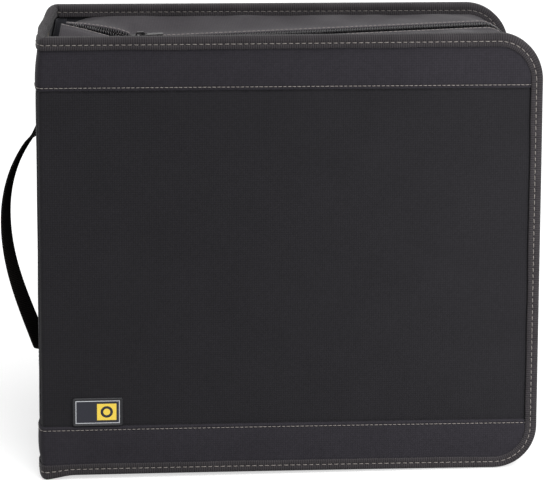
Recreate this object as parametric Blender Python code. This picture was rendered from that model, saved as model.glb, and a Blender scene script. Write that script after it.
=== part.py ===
"""Large zip-round CD storage case, standing on its long lower edge.

Frame: X runs from the spine (-X) to the opening side (+X), the front cover
faces -Y, Z is up. The case stands on z = 0, and the middle of its bounding
box lies over the origin. Sizes below are in millimetres and are turned to
metres when a mesh is made.

Inside the functions, x is counted from the spine's fold line, "depth" runs
inwards from a cover's outer face, and "inset" runs inwards from the rim that
the binding tape forms round a cover.
"""

import math

import bmesh
import bpy
from mathutils import Matrix, Vector

MM = 0.001

# Overall body
WIDTH = 330.0
HEIGHT = 299.0
THICKNESS = 104.0
CORNER_RADIUS = 30.0
GAP = 0.3

# Cover layers, from the outside inwards
TAPE_THICK = 0.8
PANEL_THICK = 1.7
BAND_RISE = 0.5
PANEL_CROWN = 0.5
PANEL_COLUMNS = 12
PANEL_ROWS = 10
BOARD_THICK = 1.5
LINING_THICK = 0.5
GUSSET_THICK = 0.8

# Cover cut: bands, binding and board
BINDING_WIDTH = 8.2
TOP_BAND_HEIGHT = 35.3
BOTTOM_BAND_HEIGHT = 34.8
BOARD_MARGIN = 6.0

# Spine
FOLD_DEPTH = 7.0
SPINE_BOW = 1.5
SPINE_POWER = 5.5
SPINE_PANEL_THICK = 1.4
SPINE_BOARD_SHARE = 0.82

# Gussets and zip
FRONT_GUSSET_START = 14.0
REAR_GUSSET_START = 9.0
SAG_AT_START = 6.3
SAG_AT_CORNER = -5.2
SAG_AT_SIDE = 3.8
GUSSET_RIPPLE = 0.9
RIPPLE_LENGTH = 71.0
GUSSET_SHARES = (0.25, 0.5, 0.75, 1.0)
ZIP_START = 18.0
ZIP_OPEN_TO = 71.5
ZIP_SPREAD = 9.0
ZIP_SPREAD_LENGTH = 25.0
ZIP_SEAM = 9.0
ZIP_LAP = 3.5
HEM_CLEARANCE = 1.0
ZIP_TAPE_THICK = 0.6
COIL_PITCH = 5.0
COIL_HEIGHT = 2.0
COIL_CORD = 1.8
COIL_SEAT = 0.5
TOOTH_LENGTH = 2.6
TOOTH_OVERLAP = 1.1
TOOTH_TAPER = 0.35
STOP_LENGTH = 3.0

# Slider and pull tab
SLIDER_LENGTH = 11.5
SLIDER_PLATE = 1.2
SLIDER_FLANGE = 1.0
SLIDER_LIP = 0.25
SLIDER_MOUTH_REACH = 1.0
SLIDER_STATIONS = (0.0, 0.35, 0.7, 1.0)
WEDGE_WIDTH = 2.2
WEDGE_LENGTH = 4.0
BRIDGE_WIDTH = 2.0
BRIDGE_LENGTH = 6.4
BRIDGE_BAR = 1.2
PULL_BAR = 1.2
PULL_WIDTH = 6.0
PULL_EYE = 4.6
PULL_TAPER = 1.0
PULL_LENGTH = 15.0
PULL_THICK = 1.0

# Handle
HANDLE_WIDTH = 25.0
HANDLE_THICK = 2.0
HANDLE_REACH = 24.3
HANDLE_TOP_DROP = 65.0
HANDLE_BOTTOM = 72.0
HANDLE_PEAK_SHARE = 0.58
HANDLE_TAB = 20.0
HANDLE_LOWER_LEAN = math.radians(20)
HANDLE_UPPER_LEAN = math.radians(42)
HANDLE_LOWER_LEAVE = 34.0
HANDLE_LOWER_ARRIVE = 32.0
HANDLE_UPPER_LEAVE = 22.0
HANDLE_UPPER_ARRIVE = 24.0

# Disc pages
LEAF_COUNT = 38
LEAF_PITCH = 2.0
LEAF_THICK = 1.4
LEAF_STEP = 1.6
LEAF_CORNER = 8.0
PAGE_CLEARANCE = 1.7
PAGE_SIDE_SLACK = 19.0
STRIP_THICK = 1.6
STRIP_GRIP = 10.0

# Label patch
LABEL_WIDTH = 33.2
LABEL_HEIGHT = 20.0
LABEL_THICK = 0.6
LABEL_RIM = 1.0
LABEL_RECESS = 0.2
LABEL_FROM_FOLD = 11.5

# Smoothness
ARC_STEPS = 10
ARC_MARGIN = 0.5
HANDLE_STEPS = 12
SPINE_STEPS = 28
GUSSET_SPACING = 14.0
PULL_BAR_SIDES = 10
SHARP_ANGLE = math.radians(35)

# Worked out from the sizes above
RIM_INSET = TAPE_THICK + GAP
BAND_FACE = TAPE_THICK + GAP
PANEL_FACE = BAND_FACE + BAND_RISE
PANEL_BACK = PANEL_FACE + PANEL_THICK
BOARD_FACE = PANEL_BACK + GAP
BOARD_BACK = BOARD_FACE + BOARD_THICK
LINING_FACE = BOARD_BACK + GAP
LINING_BACK = LINING_FACE + LINING_THICK
FLANGE_FACE = LINING_BACK + GAP
FLANGE_BACK = FLANGE_FACE + GUSSET_THICK
COVER_THICK = FLANGE_BACK + GAP + TAPE_THICK
HALF = THICKNESS / 2
GUSSET_INSET = BINDING_WIDTH + 2 * GAP
SEAM_INSET = GUSSET_INSET + GUSSET_THICK
CHAIN_INSET = SEAM_INSET + SAG_AT_SIDE - COIL_HEIGHT / 2
ZIP_SLOPE = math.atan2(SAG_AT_START - SAG_AT_CORNER, WIDTH - CORNER_RADIUS)
UNDER_TAPE = COIL_SEAT + ZIP_TAPE_THICK
COIL_ROOT = TOOTH_LENGTH - TOOTH_OVERLAP
COIL_BACK = COIL_ROOT + COIL_CORD
TOOTH_WIDTH = COIL_PITCH / 2 - GAP
SLIDER_MIDDLE = ZIP_OPEN_TO - SLIDER_LENGTH / 2 + SLIDER_MOUTH_REACH
SLIDER_ROOF = COIL_HEIGHT + GAP + SLIDER_PLATE
SLIDER_FLOOR = UNDER_TAPE + GAP
PULL_AXIS_RISE = SLIDER_ROOF + GAP + PULL_BAR / 2
PAGE_INSET = SEAM_INSET + SAG_AT_START + SLIDER_FLOOR + SLIDER_PLATE + PAGE_CLEARANCE
PAGE_HALF = ((LEAF_COUNT - 1) * LEAF_PITCH + LEAF_THICK) / 2
HANDLE_OUT = SPINE_BOW + HANDLE_REACH
HANDLE_TOP = HEIGHT - HANDLE_TOP_DROP
HANDLE_PEAK = HANDLE_BOTTOM + (HANDLE_TOP - HANDLE_BOTTOM) * HANDLE_PEAK_SHARE
MIDDLE_X = (WIDTH - HANDLE_OUT) / 2
FRONT, REAR = -1, 1


def linear(channel):
    """One sRGB channel, 0 to 255, as a linear value."""
    value = channel / 255
    return value / 12.92 if value <= 0.04045 else ((value + 0.055) / 1.055) ** 2.4


def make_material(name, hex_colour, roughness, metallic=0.0):
    """A Principled material from an sRGB colour such as "2a292b"."""
    channels = [int(hex_colour[i : i + 2], 16) for i in (0, 2, 4)]
    material = bpy.data.materials.new(name)
    material.use_nodes = True
    shader = material.node_tree.nodes["Principled BSDF"]
    shader.inputs["Base Color"].default_value = [*map(linear, channels), 1.0]
    shader.inputs["Roughness"].default_value = roughness
    shader.inputs["Metallic"].default_value = metallic
    return material


def clear_scene():
    """Remove every object, so that the case is all there is."""
    for item in list(bpy.data.objects):
        bpy.data.objects.remove(item, do_unlink=True)


def to_world(place):
    """A point in case coordinates, in metres from the object's origin."""
    return (Vector(place) - Vector((MIDDLE_X, 0.0, 0.0))) * MM


def add_empty(name, place, parent=None, slope=0.0):
    """An empty at a place in case coordinates, on a joint's axis.

    A slope tips its X axis upwards, as the zip's line does.
    """
    empty = bpy.data.objects.new(name, None)
    empty.empty_display_size = 0.02
    bpy.context.collection.objects.link(empty)
    empty.parent = parent
    empty.matrix_world = Matrix.Translation(to_world(place)) @ Matrix.Rotation(-slope, 4, "Y")
    bpy.context.view_layer.update()
    return empty


def add_piece(name, points, faces, material, parent=None, smooth=False):
    """A closed mesh from points in case coordinates, carried by an empty."""
    to_local = parent.matrix_world.inverted() if parent else Matrix()
    mesh = bpy.data.meshes.new(name)
    mesh.from_pydata([to_local @ to_world(p) for p in points], [], faces)
    work = bmesh.new()
    work.from_mesh(mesh)
    bmesh.ops.recalc_face_normals(work, faces=work.faces)
    work.to_mesh(mesh)
    work.free()
    if smooth:
        mesh.shade_smooth()
        mesh.set_sharp_from_angle(angle=SHARP_ANGLE)
    mesh.materials.append(material)
    piece = bpy.data.objects.new(name, mesh)
    bpy.context.collection.objects.link(piece)
    piece.parent = parent
    return piece


def loft(rings):
    """Points and faces of a solid through rings of equally many points."""
    size = len(rings[0])
    points = [p for ring in rings for p in ring]
    faces = []
    for row in range(len(rings) - 1):
        low, high = row * size, (row + 1) * size
        for k in range(size):
            n = (k + 1) % size
            faces.append((low + k, low + n, high + n, high + k))
    last = (len(rings) - 1) * size
    faces.append(tuple(reversed(range(size))))
    faces.append(tuple(range(last, last + size)))
    return points, faces


def union(base, *others):
    """Join other pieces into one solid by exact unions, then drop them."""
    for other in others:
        modifier = base.modifiers.new("join", "BOOLEAN")
        modifier.operation = "UNION"
        modifier.solver = "EXACT"
        modifier.object = other
    bpy.context.view_layer.update()
    graph = bpy.context.evaluated_depsgraph_get()
    joined = bpy.data.meshes.new_from_object(base.evaluated_get(graph))
    base.modifiers.clear()
    base.data = joined
    for other in others:
        bpy.data.objects.remove(other, do_unlink=True)
    return base


def face_y(side, depth):
    """Y of a plane at a depth below one cover's outer face."""
    return side * (HALF - depth)


def right_edge(z, inset):
    """X of the rounded opening side of a cover at height z."""
    centre = min(max(z, CORNER_RADIUS), HEIGHT - CORNER_RADIUS)
    radius = CORNER_RADIUS - inset
    rise = min(abs(z - centre), radius)
    return WIDTH - CORNER_RADIUS + math.sqrt(radius**2 - rise**2)


def edge_heights(low, high, inset):
    """Heights between low and high that draw the rounded side smoothly."""
    radius = CORNER_RADIUS - inset
    turns = [math.sin(math.pi / 2 * k / ARC_STEPS) * radius for k in range(ARC_STEPS + 1)]
    bottom = [CORNER_RADIUS - turn for turn in reversed(turns)]
    top = [HEIGHT - CORNER_RADIUS + turn for turn in turns]
    inner = [z for z in bottom + top if low + ARC_MARGIN < z < high - ARC_MARGIN]
    return [low, *inner, high]


def cover_plate(low, high, inset, face, back, side, left):
    """A flat layer of a cover, between two heights, with its round side."""
    heights = edge_heights(low, high, inset)
    outline = [(left, low), *[(right_edge(z, inset), z) for z in heights], (left, high)]
    rings = [[(x, face_y(side, d), z) for x, z in outline] for d in (face, back)]
    return loft(rings)


def padded_plate(low, high, inset, face, back, crown, side, left):
    """A cover layer whose outer face swells from its seams to its middle.

    The swelling is crown * (1 - p^4) * (1 - q^4), with p and q running from
    -1 to 1 across the panel and up it, which rises fast and then stays flat.
    """
    columns, rows = PANEL_COLUMNS, PANEL_ROWS
    points, faces = [], []
    for level in (0, 1):
        for j in range(rows + 1):
            q = 2 * j / rows - 1
            z = low + (high - low) * j / rows
            for i in range(columns + 1):
                p = 2 * i / columns - 1
                x = left + (right_edge(z, inset) - left) * i / columns
                swell = crown * (1 - p**4) * (1 - q**4)
                depth = back if level else face + crown - swell
                points.append((x, face_y(side, depth), z))
    stride = columns + 1
    layer = stride * (rows + 1)
    for j in range(rows):
        for i in range(columns):
            a = j * stride + i
            quad = (a, a + 1, a + 1 + stride, a + stride)
            faces.append(quad)
            faces.append(tuple(layer + k for k in reversed(quad)))
    rim = [*range(columns), *[columns + j * stride for j in range(rows)]]
    rim += [rows * stride + i for i in range(columns, 0, -1)]
    rim += [j * stride for j in range(rows, 0, -1)]
    for here, there in zip(rim, rim[1:] + rim[:1]):
        faces.append((here, here + layer, there + layer, there))
    return points, faces


def rim_lengths(start, inset):
    """Lengths of the five stretches of the rim: run, arc, run, arc, run."""
    arc = (CORNER_RADIUS - inset) * math.pi / 2
    run = WIDTH - CORNER_RADIUS - start
    return [run, arc, HEIGHT - 2 * CORNER_RADIUS, arc, run]


def rim_station(distance, start, inset):
    """Rim point and inward normal at a distance along the line at an inset."""
    top, arc, side, _, bottom = rim_lengths(start, inset)
    edge, radius = WIDTH - CORNER_RADIUS, CORNER_RADIUS
    if distance <= top:
        return start + distance, HEIGHT, 0.0, -1.0
    distance -= top
    if distance <= arc:
        turn = distance / arc * math.pi / 2
        across, along = math.sin(turn), math.cos(turn)
        return edge + radius * across, HEIGHT - radius + radius * along, -across, -along
    distance -= arc
    if distance <= side:
        return WIDTH, HEIGHT - radius - distance, -1.0, 0.0
    distance -= side
    if distance <= arc:
        turn = distance / arc * math.pi / 2
        across, along = math.cos(turn), math.sin(turn)
        return edge + radius * across, radius - radius * along, -across, along
    distance -= arc
    return edge - min(distance, bottom), 0.0, 0.0, 1.0


def rim_distances(start, inset, spacing):
    """Distances along the rim: evenly spaced runs, finer round the corners."""
    marks, done = [0.0], 0.0
    for index, length in enumerate(rim_lengths(start, inset)):
        steps = ARC_STEPS if index in (1, 3) else max(1, math.ceil(length / spacing))
        marks += [done + length * (k + 1) / steps for k in range(steps)]
        done += length
    return marks


def rim_sweep(side, start, spacing, profile):
    """A solid swept round the rim of a cover.

    profile(distance, spread, sag) gives the section there as (depth, inset)
    pairs. Stations are spaced along the zip's line, so that all the strips
    round the rim turn the corners together.
    """
    rings = []
    for distance in rim_distances(start, CHAIN_INSET, spacing):
        x, z, nx, nz = rim_station(distance, start, CHAIN_INSET)
        section = profile(distance, zip_spread(x, nz), zip_sag(x, nx, nz))
        rings.append([(x + nx * n, face_y(side, d), z + nz * n) for d, n in section])
    return loft(rings)


def zip_spread(x, nz=-1.0):
    """How far each half of the zip stands from the middle where it is open."""
    if nz > -1.0 or x >= ZIP_OPEN_TO:
        return 0.0
    return ZIP_SPREAD * math.tanh((ZIP_OPEN_TO - x) / ZIP_SPREAD_LENGTH)


def zip_sag(x, nx=0.0, nz=-1.0):
    """How far the zip's line lies below the gusset's seams with the covers.

    It rises in a straight line along the upper run, blends round the first
    corner and keeps one sag down the side and along the bottom.
    """
    if nz >= 0.0:
        return SAG_AT_SIDE
    run = WIDTH - CORNER_RADIUS
    sag = SAG_AT_START + (SAG_AT_CORNER - SAG_AT_START) * min(x, run) / run
    turn = math.atan2(-nx, -nz) / (math.pi / 2)
    blend = turn * turn * (3 - 2 * turn)
    return sag + (SAG_AT_SIDE - sag) * blend


def zip_height(x):
    """Height of the underside of the closed coils on the upper run."""
    return HEIGHT - SEAM_INSET - zip_sag(x)


def binding_section(distance, spread, sag):
    """Tape folded over the cover's edge: a U that opens inwards."""
    inner, outer = BINDING_WIDTH, TAPE_THICK
    return [
        (0.0, inner),
        (0.0, 0.0),
        (COVER_THICK, 0.0),
        (COVER_THICK, inner),
        (COVER_THICK - outer, inner),
        (COVER_THICK - outer, outer),
        (outer, outer),
        (outer, inner),
    ]


def gusset_section(distance, spread, sag):
    """Section of a gusset: a flange in the seam, then the strip to the zip."""
    seam = HALF - ZIP_SEAM - spread
    fade = min(1.0, distance / RIPPLE_LENGTH)
    wave = GUSSET_RIPPLE * fade * math.sin(2 * math.pi * distance / RIPPLE_LENGTH)
    hem = seam - ZIP_LAP - HEM_CLEARANCE
    upper, lower = [], []
    for share in GUSSET_SHARES:
        depth = FLANGE_BACK + (hem - FLANGE_BACK) * share
        swell = 4 * share * (1 - share)
        inset = GUSSET_INSET + sag * share + swell * (wave + GUSSET_RIPPLE)
        upper.append((depth, inset))
        lower.append((depth, inset + GUSSET_THICK))
    return [
        (FLANGE_FACE, RIM_INSET + GAP),
        (FLANGE_BACK, RIM_INSET + GAP),
        (FLANGE_BACK, GUSSET_INSET),
        *upper,
        (seam, GUSSET_INSET + sag),
        (seam, SEAM_INSET + sag),
        *reversed(lower),
        (FLANGE_FACE, GUSSET_INSET + GUSSET_THICK),
    ]


def zip_tape_section(distance, spread, sag):
    """Flat woven tape that carries the coil, tucked under the gusset's hem."""
    edge, far = HALF - COIL_ROOT - spread, HALF - ZIP_SEAM - ZIP_LAP - spread
    low, high = SEAM_INSET + sag + COIL_SEAT, SEAM_INSET + sag + UNDER_TAPE
    return [(far, low), (edge, low), (edge, high), (far, high)]


def coil(side):
    """One half of the zip chain: a cord with teeth that mesh with the other.

    Each pitch holds one tapered tooth. The rear half starts half a pitch
    later, so its teeth stand in the front half's spaces.
    """
    length = sum(rim_lengths(ZIP_START, CHAIN_INSET))
    offset = COIL_PITCH / 2 if side == REAR else 0.0
    count = int((length - offset - COIL_PITCH) // COIL_PITCH)
    points, faces = [], []

    def level(distance, reach):
        x, z, nx, nz = rim_station(distance, ZIP_START, CHAIN_INSET)
        y = face_y(side, HALF - reach - zip_spread(x, nz))
        bottom = SEAM_INSET + zip_sag(x, nx, nz)
        return [(x + nx * n, y, z + nz * n) for n in (bottom - COIL_HEIGHT, bottom)]

    for k in range(count):
        begin = offset + k * COIL_PITCH
        end = begin + TOOTH_WIDTH
        points += level(begin, COIL_BACK) + level(begin, COIL_ROOT)
        points += level(begin + TOOTH_TAPER, -TOOTH_OVERLAP)
        points += level(end - TOOTH_TAPER, -TOOTH_OVERLAP) + level(end, COIL_ROOT)
    close = offset + count * COIL_PITCH
    points += level(close, COIL_BACK) + level(close, COIL_ROOT)
    for k in range(count):
        a, b = 10 * k, 10 * (k + 1)
        faces.append((a, b, b + 2, a + 8, a + 6, a + 4, a + 2))
        faces.append((a + 3, a + 5, a + 7, a + 9, b + 3, b + 1, a + 1))
        faces.append((a, a + 1, b + 1, b))
        faces.append((a + 2, a + 4, a + 5, a + 3))
        faces.append((a + 4, a + 6, a + 7, a + 5))
        faces.append((a + 6, a + 8, a + 9, a + 7))
        faces.append((a + 8, b + 2, b + 3, a + 9))
    last = 10 * count
    faces.append((0, 2, 3, 1))
    faces.append((last, last + 1, last + 3, last + 2))
    return points, faces


def spine_point(share, depth):
    """Point of the spine's plan curve, moved inwards by a depth.

    share runs from -1 at the front fold to 1 at the rear fold. The outer line
    is x = fold - (fold + bow) * sqrt(1 - |share|^power): nearly flat in the
    middle, then rolled over into the plane of each cover.
    """
    share = max(-1.0, min(1.0, share))
    amplitude = FOLD_DEPTH + SPINE_BOW
    bulge = max(0.0, 1 - abs(share) ** SPINE_POWER)
    x, y = FOLD_DEPTH - amplitude * math.sqrt(bulge), HALF * share
    slope = amplitude * SPINE_POWER / 2 * abs(share) ** (SPINE_POWER - 1) / HALF
    root = math.sqrt(bulge)
    across, along = root, -math.copysign(slope, share)
    scale = math.hypot(across, along)
    return x + across / scale * depth, y + along / scale * depth


def spine_shares(reach):
    """Shares from -reach to reach, closer together towards the folds."""
    steps = [2 * k / SPINE_STEPS - 1 for k in range(SPINE_STEPS + 1)]
    return [reach * math.copysign(1 - (1 - abs(t)) ** 2, t) for t in steps]


def spine_plate(low, high, face, back, reach=1.0):
    """A layer of the spine between two heights, following its bowed plan."""
    shares = spine_shares(reach)
    outline = [spine_point(s, face) for s in shares]
    outline += [spine_point(s, back) for s in reversed(shares)]
    rings = [[(x, y, z) for x, y in outline] for z in (low, high)]
    return loft(rings)


def spine_binding(base, inward):
    """Tape folded over the spine's edge at height base, inward up or down."""
    thick = SPINE_PANEL_THICK + 2 * (TAPE_THICK + GAP)
    rings = []
    for share in spine_shares(1.0):
        section = [
            (0.0, BINDING_WIDTH),
            (0.0, 0.0),
            (thick, 0.0),
            (thick, BINDING_WIDTH),
            (thick - TAPE_THICK, BINDING_WIDTH),
            (thick - TAPE_THICK, TAPE_THICK),
            (TAPE_THICK, TAPE_THICK),
            (TAPE_THICK, BINDING_WIDTH),
        ]
        rings.append([(*spine_point(share, d), base + inward * n) for d, n in section])
    return loft(rings)


def inner_face_x(half_width):
    """X of the spine lining's inner face where it first meets a flat strip."""
    back = TAPE_THICK + GAP + SPINE_PANEL_THICK + GAP + BOARD_THICK + GAP + LINING_THICK
    return spine_point(min(half_width / HALF, SPINE_BOARD_SHARE), back)[0]


def box(low, high):
    """Points and faces of a box between two corners."""
    rings = []
    for z in (low[2], high[2]):
        near = [(low[0], low[1], z), (high[0], low[1], z)]
        rings.append([*near, (high[0], high[1], z), (low[0], high[1], z)])
    return loft(rings)


def build_cover(side, name, hinge, paint):
    """One cover: three outer cloths, board, lining, binding, gusset and zip half."""
    left = FOLD_DEPTH + GAP / 2
    seam_low, seam_high = BOTTOM_BAND_HEIGHT, HEIGHT - TOP_BAND_HEIGHT
    foot, head = RIM_INSET, HEIGHT - RIM_INSET

    panel = padded_plate(
        seam_low + GAP / 2, seam_high - GAP / 2, RIM_INSET, PANEL_FACE, PANEL_BACK, PANEL_CROWN, side, left
    )
    add_piece(f"{name}_centre_panel", *panel, paint["cloth"], hinge, smooth=True)
    band = cover_plate(seam_high + GAP / 2, head, RIM_INSET, BAND_FACE, PANEL_BACK, side, left)
    add_piece(f"{name}_top_band", *band, paint["band"], hinge)
    band = cover_plate(foot, seam_low - GAP / 2, RIM_INSET, BAND_FACE, PANEL_BACK, side, left)
    add_piece(f"{name}_bottom_band", *band, paint["band"], hinge)
    board = cover_plate(
        foot + GAP, head - GAP, RIM_INSET + GAP, BOARD_FACE, BOARD_BACK, side, left + BOARD_MARGIN
    )
    add_piece(f"{name}_board", *board, paint["board"], hinge)
    lining = cover_plate(foot, head, RIM_INSET, LINING_FACE, LINING_BACK, side, left)
    add_piece(f"{name}_lining", *lining, paint["lining"], hinge)

    binding = rim_sweep(side, left, WIDTH, binding_section)
    add_piece(f"{name}_binding", *binding, paint["binding"], hinge, smooth=True)
    start = FRONT_GUSSET_START if side == FRONT else REAR_GUSSET_START
    gusset = rim_sweep(side, start, GUSSET_SPACING, gusset_section)
    add_piece(f"{name}_gusset", *gusset, paint["gusset"], hinge, smooth=True)
    tape = rim_sweep(side, ZIP_START, GUSSET_SPACING / 2, zip_tape_section)
    add_piece(f"{name}_zip_tape", *tape, paint["zip_tape"], hinge)
    add_piece(f"{name}_zip_coil", *coil(side), paint["coil"], hinge)


def build_zip_stops(front_hinge, rear_hinge, paint):
    """A stop at the start of each half, and one across both at the far end."""
    right = ZIP_START - GAP
    left = right - STOP_LENGTH
    middle = zip_spread(ZIP_START) + (COIL_BACK + COIL_ROOT) / 2
    bottom = zip_height(left)
    for side, name, hinge in ((FRONT, "front", front_hinge), (REAR, "rear", rear_hinge)):
        low = (left, side * middle - COIL_CORD, bottom)
        high = (right, side * middle + COIL_CORD, bottom + COIL_HEIGHT)
        add_piece(f"{name}_zip_stop", *box(low, high), paint["metal"], hinge)
    top = SEAM_INSET + SAG_AT_SIDE
    end_stop = box((left, -COIL_BACK, top - COIL_HEIGHT), (right, COIL_BACK, top))
    add_piece("zip_end_stop", *end_stop, paint["metal"], rear_hinge)


def on_zip(points):
    """Points given along, across and above the zip's line, in case coordinates.

    They are counted from the underside of the coils at the slider's middle.
    """
    along, rise = math.cos(ZIP_SLOPE), math.sin(ZIP_SLOPE)
    base = zip_height(SLIDER_MIDDLE)
    return [(SLIDER_MIDDLE + x * along - z * rise, y, base + x * rise + z * along) for x, y, z in points]


def slider_stations():
    """Places along the slider, with the half width that its coil needs there."""
    stations = []
    for share in SLIDER_STATIONS:
        x = SLIDER_LENGTH * (share - 0.5)
        stations.append((x, COIL_BACK + GAP + zip_spread(SLIDER_MIDDLE + x)))
    return stations


def slider_plate(low, high):
    """One plate of the slider, wide at the mouth and narrow at the tail."""
    edge = [(x, half + SLIDER_FLANGE + SLIDER_LIP) for x, half in slider_stations()]
    outline = edge + [(x, -y) for x, y in reversed(edge)]
    return loft([on_zip([(x, y, z) for x, y in outline]) for z in (low, high)])


def slider_flange(side):
    """The lip that keeps one coil in the slider, following its splayed line."""
    top = SLIDER_ROOF - SLIDER_PLATE / 2
    rings = []
    for x, inner in slider_stations():
        outer = inner + SLIDER_FLANGE
        along = x * (1 - 2 * SLIDER_LIP / SLIDER_LENGTH)
        section = ((inner, 0.0), (outer, 0.0), (outer, top), (inner, top))
        rings.append(on_zip([(along, side * y, z) for y, z in section]))
    return loft(rings)


def slider_wedge():
    """The post at the mouth that parts the coils and joins the two plates."""
    left, half = SLIDER_LIP - SLIDER_LENGTH / 2, WEDGE_WIDTH / 2
    shoulder = left + WEDGE_LENGTH / 2
    outline = [(left, -half), (shoulder, -half), (left + WEDGE_LENGTH, 0.0), (shoulder, half), (left, half)]
    ends = (-SLIDER_FLOOR - SLIDER_PLATE / 2, SLIDER_ROOF - SLIDER_PLATE / 2)
    return loft([on_zip([(x, y, z) for x, y in outline]) for z in ends])


def slider_bridge():
    """The arch on the slider that holds the pull tab's bar."""
    half, foot = BRIDGE_LENGTH / 2, SLIDER_ROOF - SLIDER_PLATE / 2
    inner = PULL_AXIS_RISE + PULL_BAR / 2 + GAP
    outline = [
        (-half, foot),
        (-half, inner),
        (-half + BRIDGE_BAR, inner + BRIDGE_BAR),
        (half - BRIDGE_BAR, inner + BRIDGE_BAR),
        (half, inner),
        (half, foot),
        (half - BRIDGE_BAR, foot),
        (half - BRIDGE_BAR, inner),
        (-half + BRIDGE_BAR, inner),
        (-half + BRIDGE_BAR, foot),
    ]
    width = BRIDGE_WIDTH / 2
    return loft([on_zip([(x, y, z) for x, z in outline]) for y in (-width, width)])


def build_slider(track, paint):
    """Two plates on a wedge, with flanges beside the coils and a bridge on top."""
    roof = slider_plate(SLIDER_ROOF - SLIDER_PLATE, SLIDER_ROOF)
    slider = add_piece("zip_slider", *roof, paint["metal"], track)
    floor = slider_plate(-SLIDER_FLOOR - SLIDER_PLATE, -SLIDER_FLOOR)
    shapes = [floor, slider_flange(FRONT), slider_flange(REAR), slider_wedge(), slider_bridge()]
    extra = [add_piece(f"slider_part_{k}", *shape, paint["metal"], track) for k, shape in enumerate(shapes)]
    union(slider, *extra)


def build_pull_tab(pivot, paint):
    """A tab with an eye: its bar passes under the slider's bridge."""
    half, thick = PULL_WIDTH / 2, PULL_THICK / 2
    arm = BRIDGE_WIDTH / 2 + GAP
    outline = [
        (0.0, arm),
        (0.0, half - PULL_TAPER / 2),
        (PULL_EYE, half),
        (PULL_LENGTH - PULL_TAPER, half),
        (PULL_LENGTH, half - PULL_TAPER),
    ]
    outline += [(x, -y) for x, y in reversed(outline)]
    outline += [(PULL_EYE, -arm), (PULL_EYE, arm)]
    rise = PULL_AXIS_RISE
    rings = [on_zip([(x, y, rise + z) for x, y in outline]) for z in (-thick, thick)]
    tab = add_piece("pull_tab", *loft(rings), paint["metal"], pivot)
    turns = [2 * math.pi * k / PULL_BAR_SIDES for k in range(PULL_BAR_SIDES)]
    radius, end = PULL_BAR / 2, half - PULL_TAPER
    section = [(radius * math.cos(t), rise + radius * math.sin(t)) for t in turns]
    bar = loft([on_zip([(x, y, z) for x, z in section]) for y in (-end, end)])
    union(tab, add_piece("pull_bar", *bar, paint["metal"], pivot))


def handle_curve():
    """The strap's inner line in x and z, from its lower tab to its upper one.

    Two cubic arches meet at the peak. Each leaves the spine at its own lean
    and reaches the peak upright.
    """
    seat = spine_point(HANDLE_WIDTH / 2 / HALF, PANEL_FACE)[0] - GAP
    peak = HANDLE_THICK - HANDLE_OUT

    def arch(start, lean, leave, arrive):
        up = math.copysign(1.0, HANDLE_PEAK - start)
        xs = (seat, seat - leave * math.sin(lean), peak, peak)
        zs = (start, start + up * leave * math.cos(lean), HANDLE_PEAK - up * arrive, HANDLE_PEAK)
        line = []
        for k in range(HANDLE_STEPS + 1):
            t = k / HANDLE_STEPS
            weights = ((1 - t) ** 3, 3 * t * (1 - t) ** 2, 3 * t**2 * (1 - t), t**3)
            line.append([sum(w * v for w, v in zip(weights, vs)) for vs in (xs, zs)])
        return line

    rising = arch(HANDLE_BOTTOM, HANDLE_LOWER_LEAN, HANDLE_LOWER_LEAVE, HANDLE_LOWER_ARRIVE)
    falling = arch(HANDLE_TOP, HANDLE_UPPER_LEAN, HANDLE_UPPER_LEAVE, HANDLE_UPPER_ARRIVE)
    tabs = [seat, HANDLE_BOTTOM - HANDLE_TAB], [seat, HANDLE_TOP + HANDLE_TAB]
    return [tabs[0], *rising, *reversed(falling[:-1]), tabs[1]]


def build_handle(paint):
    """Webbing strap sewn flat to the spine at both ends."""
    line = handle_curve()
    rings = []
    for k, (x, z) in enumerate(line):
        before, after = line[max(k - 1, 0)], line[min(k + 1, len(line) - 1)]
        dx, dz = after[0] - before[0], after[1] - before[1]
        scale = HANDLE_THICK / math.hypot(dx, dz)
        outer = (x - dz * scale, z + dx * scale)
        half = HANDLE_WIDTH / 2
        rings.append([(x, -half, z), (x, half, z), (outer[0], half, outer[1]), (outer[0], -half, outer[1])])
    add_piece("handle", *loft(rings), paint["webbing"], None, smooth=True)


def build_spine(paint):
    """Outer cloths, board, lining and bindings of the spine."""
    seam_low, seam_high = BOTTOM_BAND_HEIGHT, HEIGHT - TOP_BAND_HEIGHT
    back = BAND_FACE + SPINE_PANEL_THICK
    pieces = (
        ("spine_centre_panel", seam_low + GAP / 2, seam_high - GAP / 2, PANEL_FACE, "cloth"),
        ("spine_top_band", seam_high + GAP / 2, HEIGHT - RIM_INSET, BAND_FACE, "band"),
        ("spine_bottom_band", RIM_INSET, seam_low - GAP / 2, BAND_FACE, "band"),
    )
    for name, low, high, face, cloth in pieces:
        add_piece(name, *spine_plate(low, high, face, back), paint[cloth], None, smooth=True)
    low, high = BINDING_WIDTH + GAP, HEIGHT - BINDING_WIDTH - GAP
    board = spine_plate(low, high, back + GAP, back + GAP + BOARD_THICK, SPINE_BOARD_SHARE)
    add_piece("spine_board", *board, paint["board"], None, smooth=True)
    inner = back + 2 * GAP + BOARD_THICK
    lining = spine_plate(low, high, inner, inner + LINING_THICK, SPINE_BOARD_SHARE)
    add_piece("spine_lining", *lining, paint["lining"], None, smooth=True)
    add_piece("spine_top_binding", *spine_binding(HEIGHT, -1), paint["binding"], None, smooth=True)
    add_piece("spine_bottom_binding", *spine_binding(0.0, 1), paint["binding"], None, smooth=True)


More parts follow.
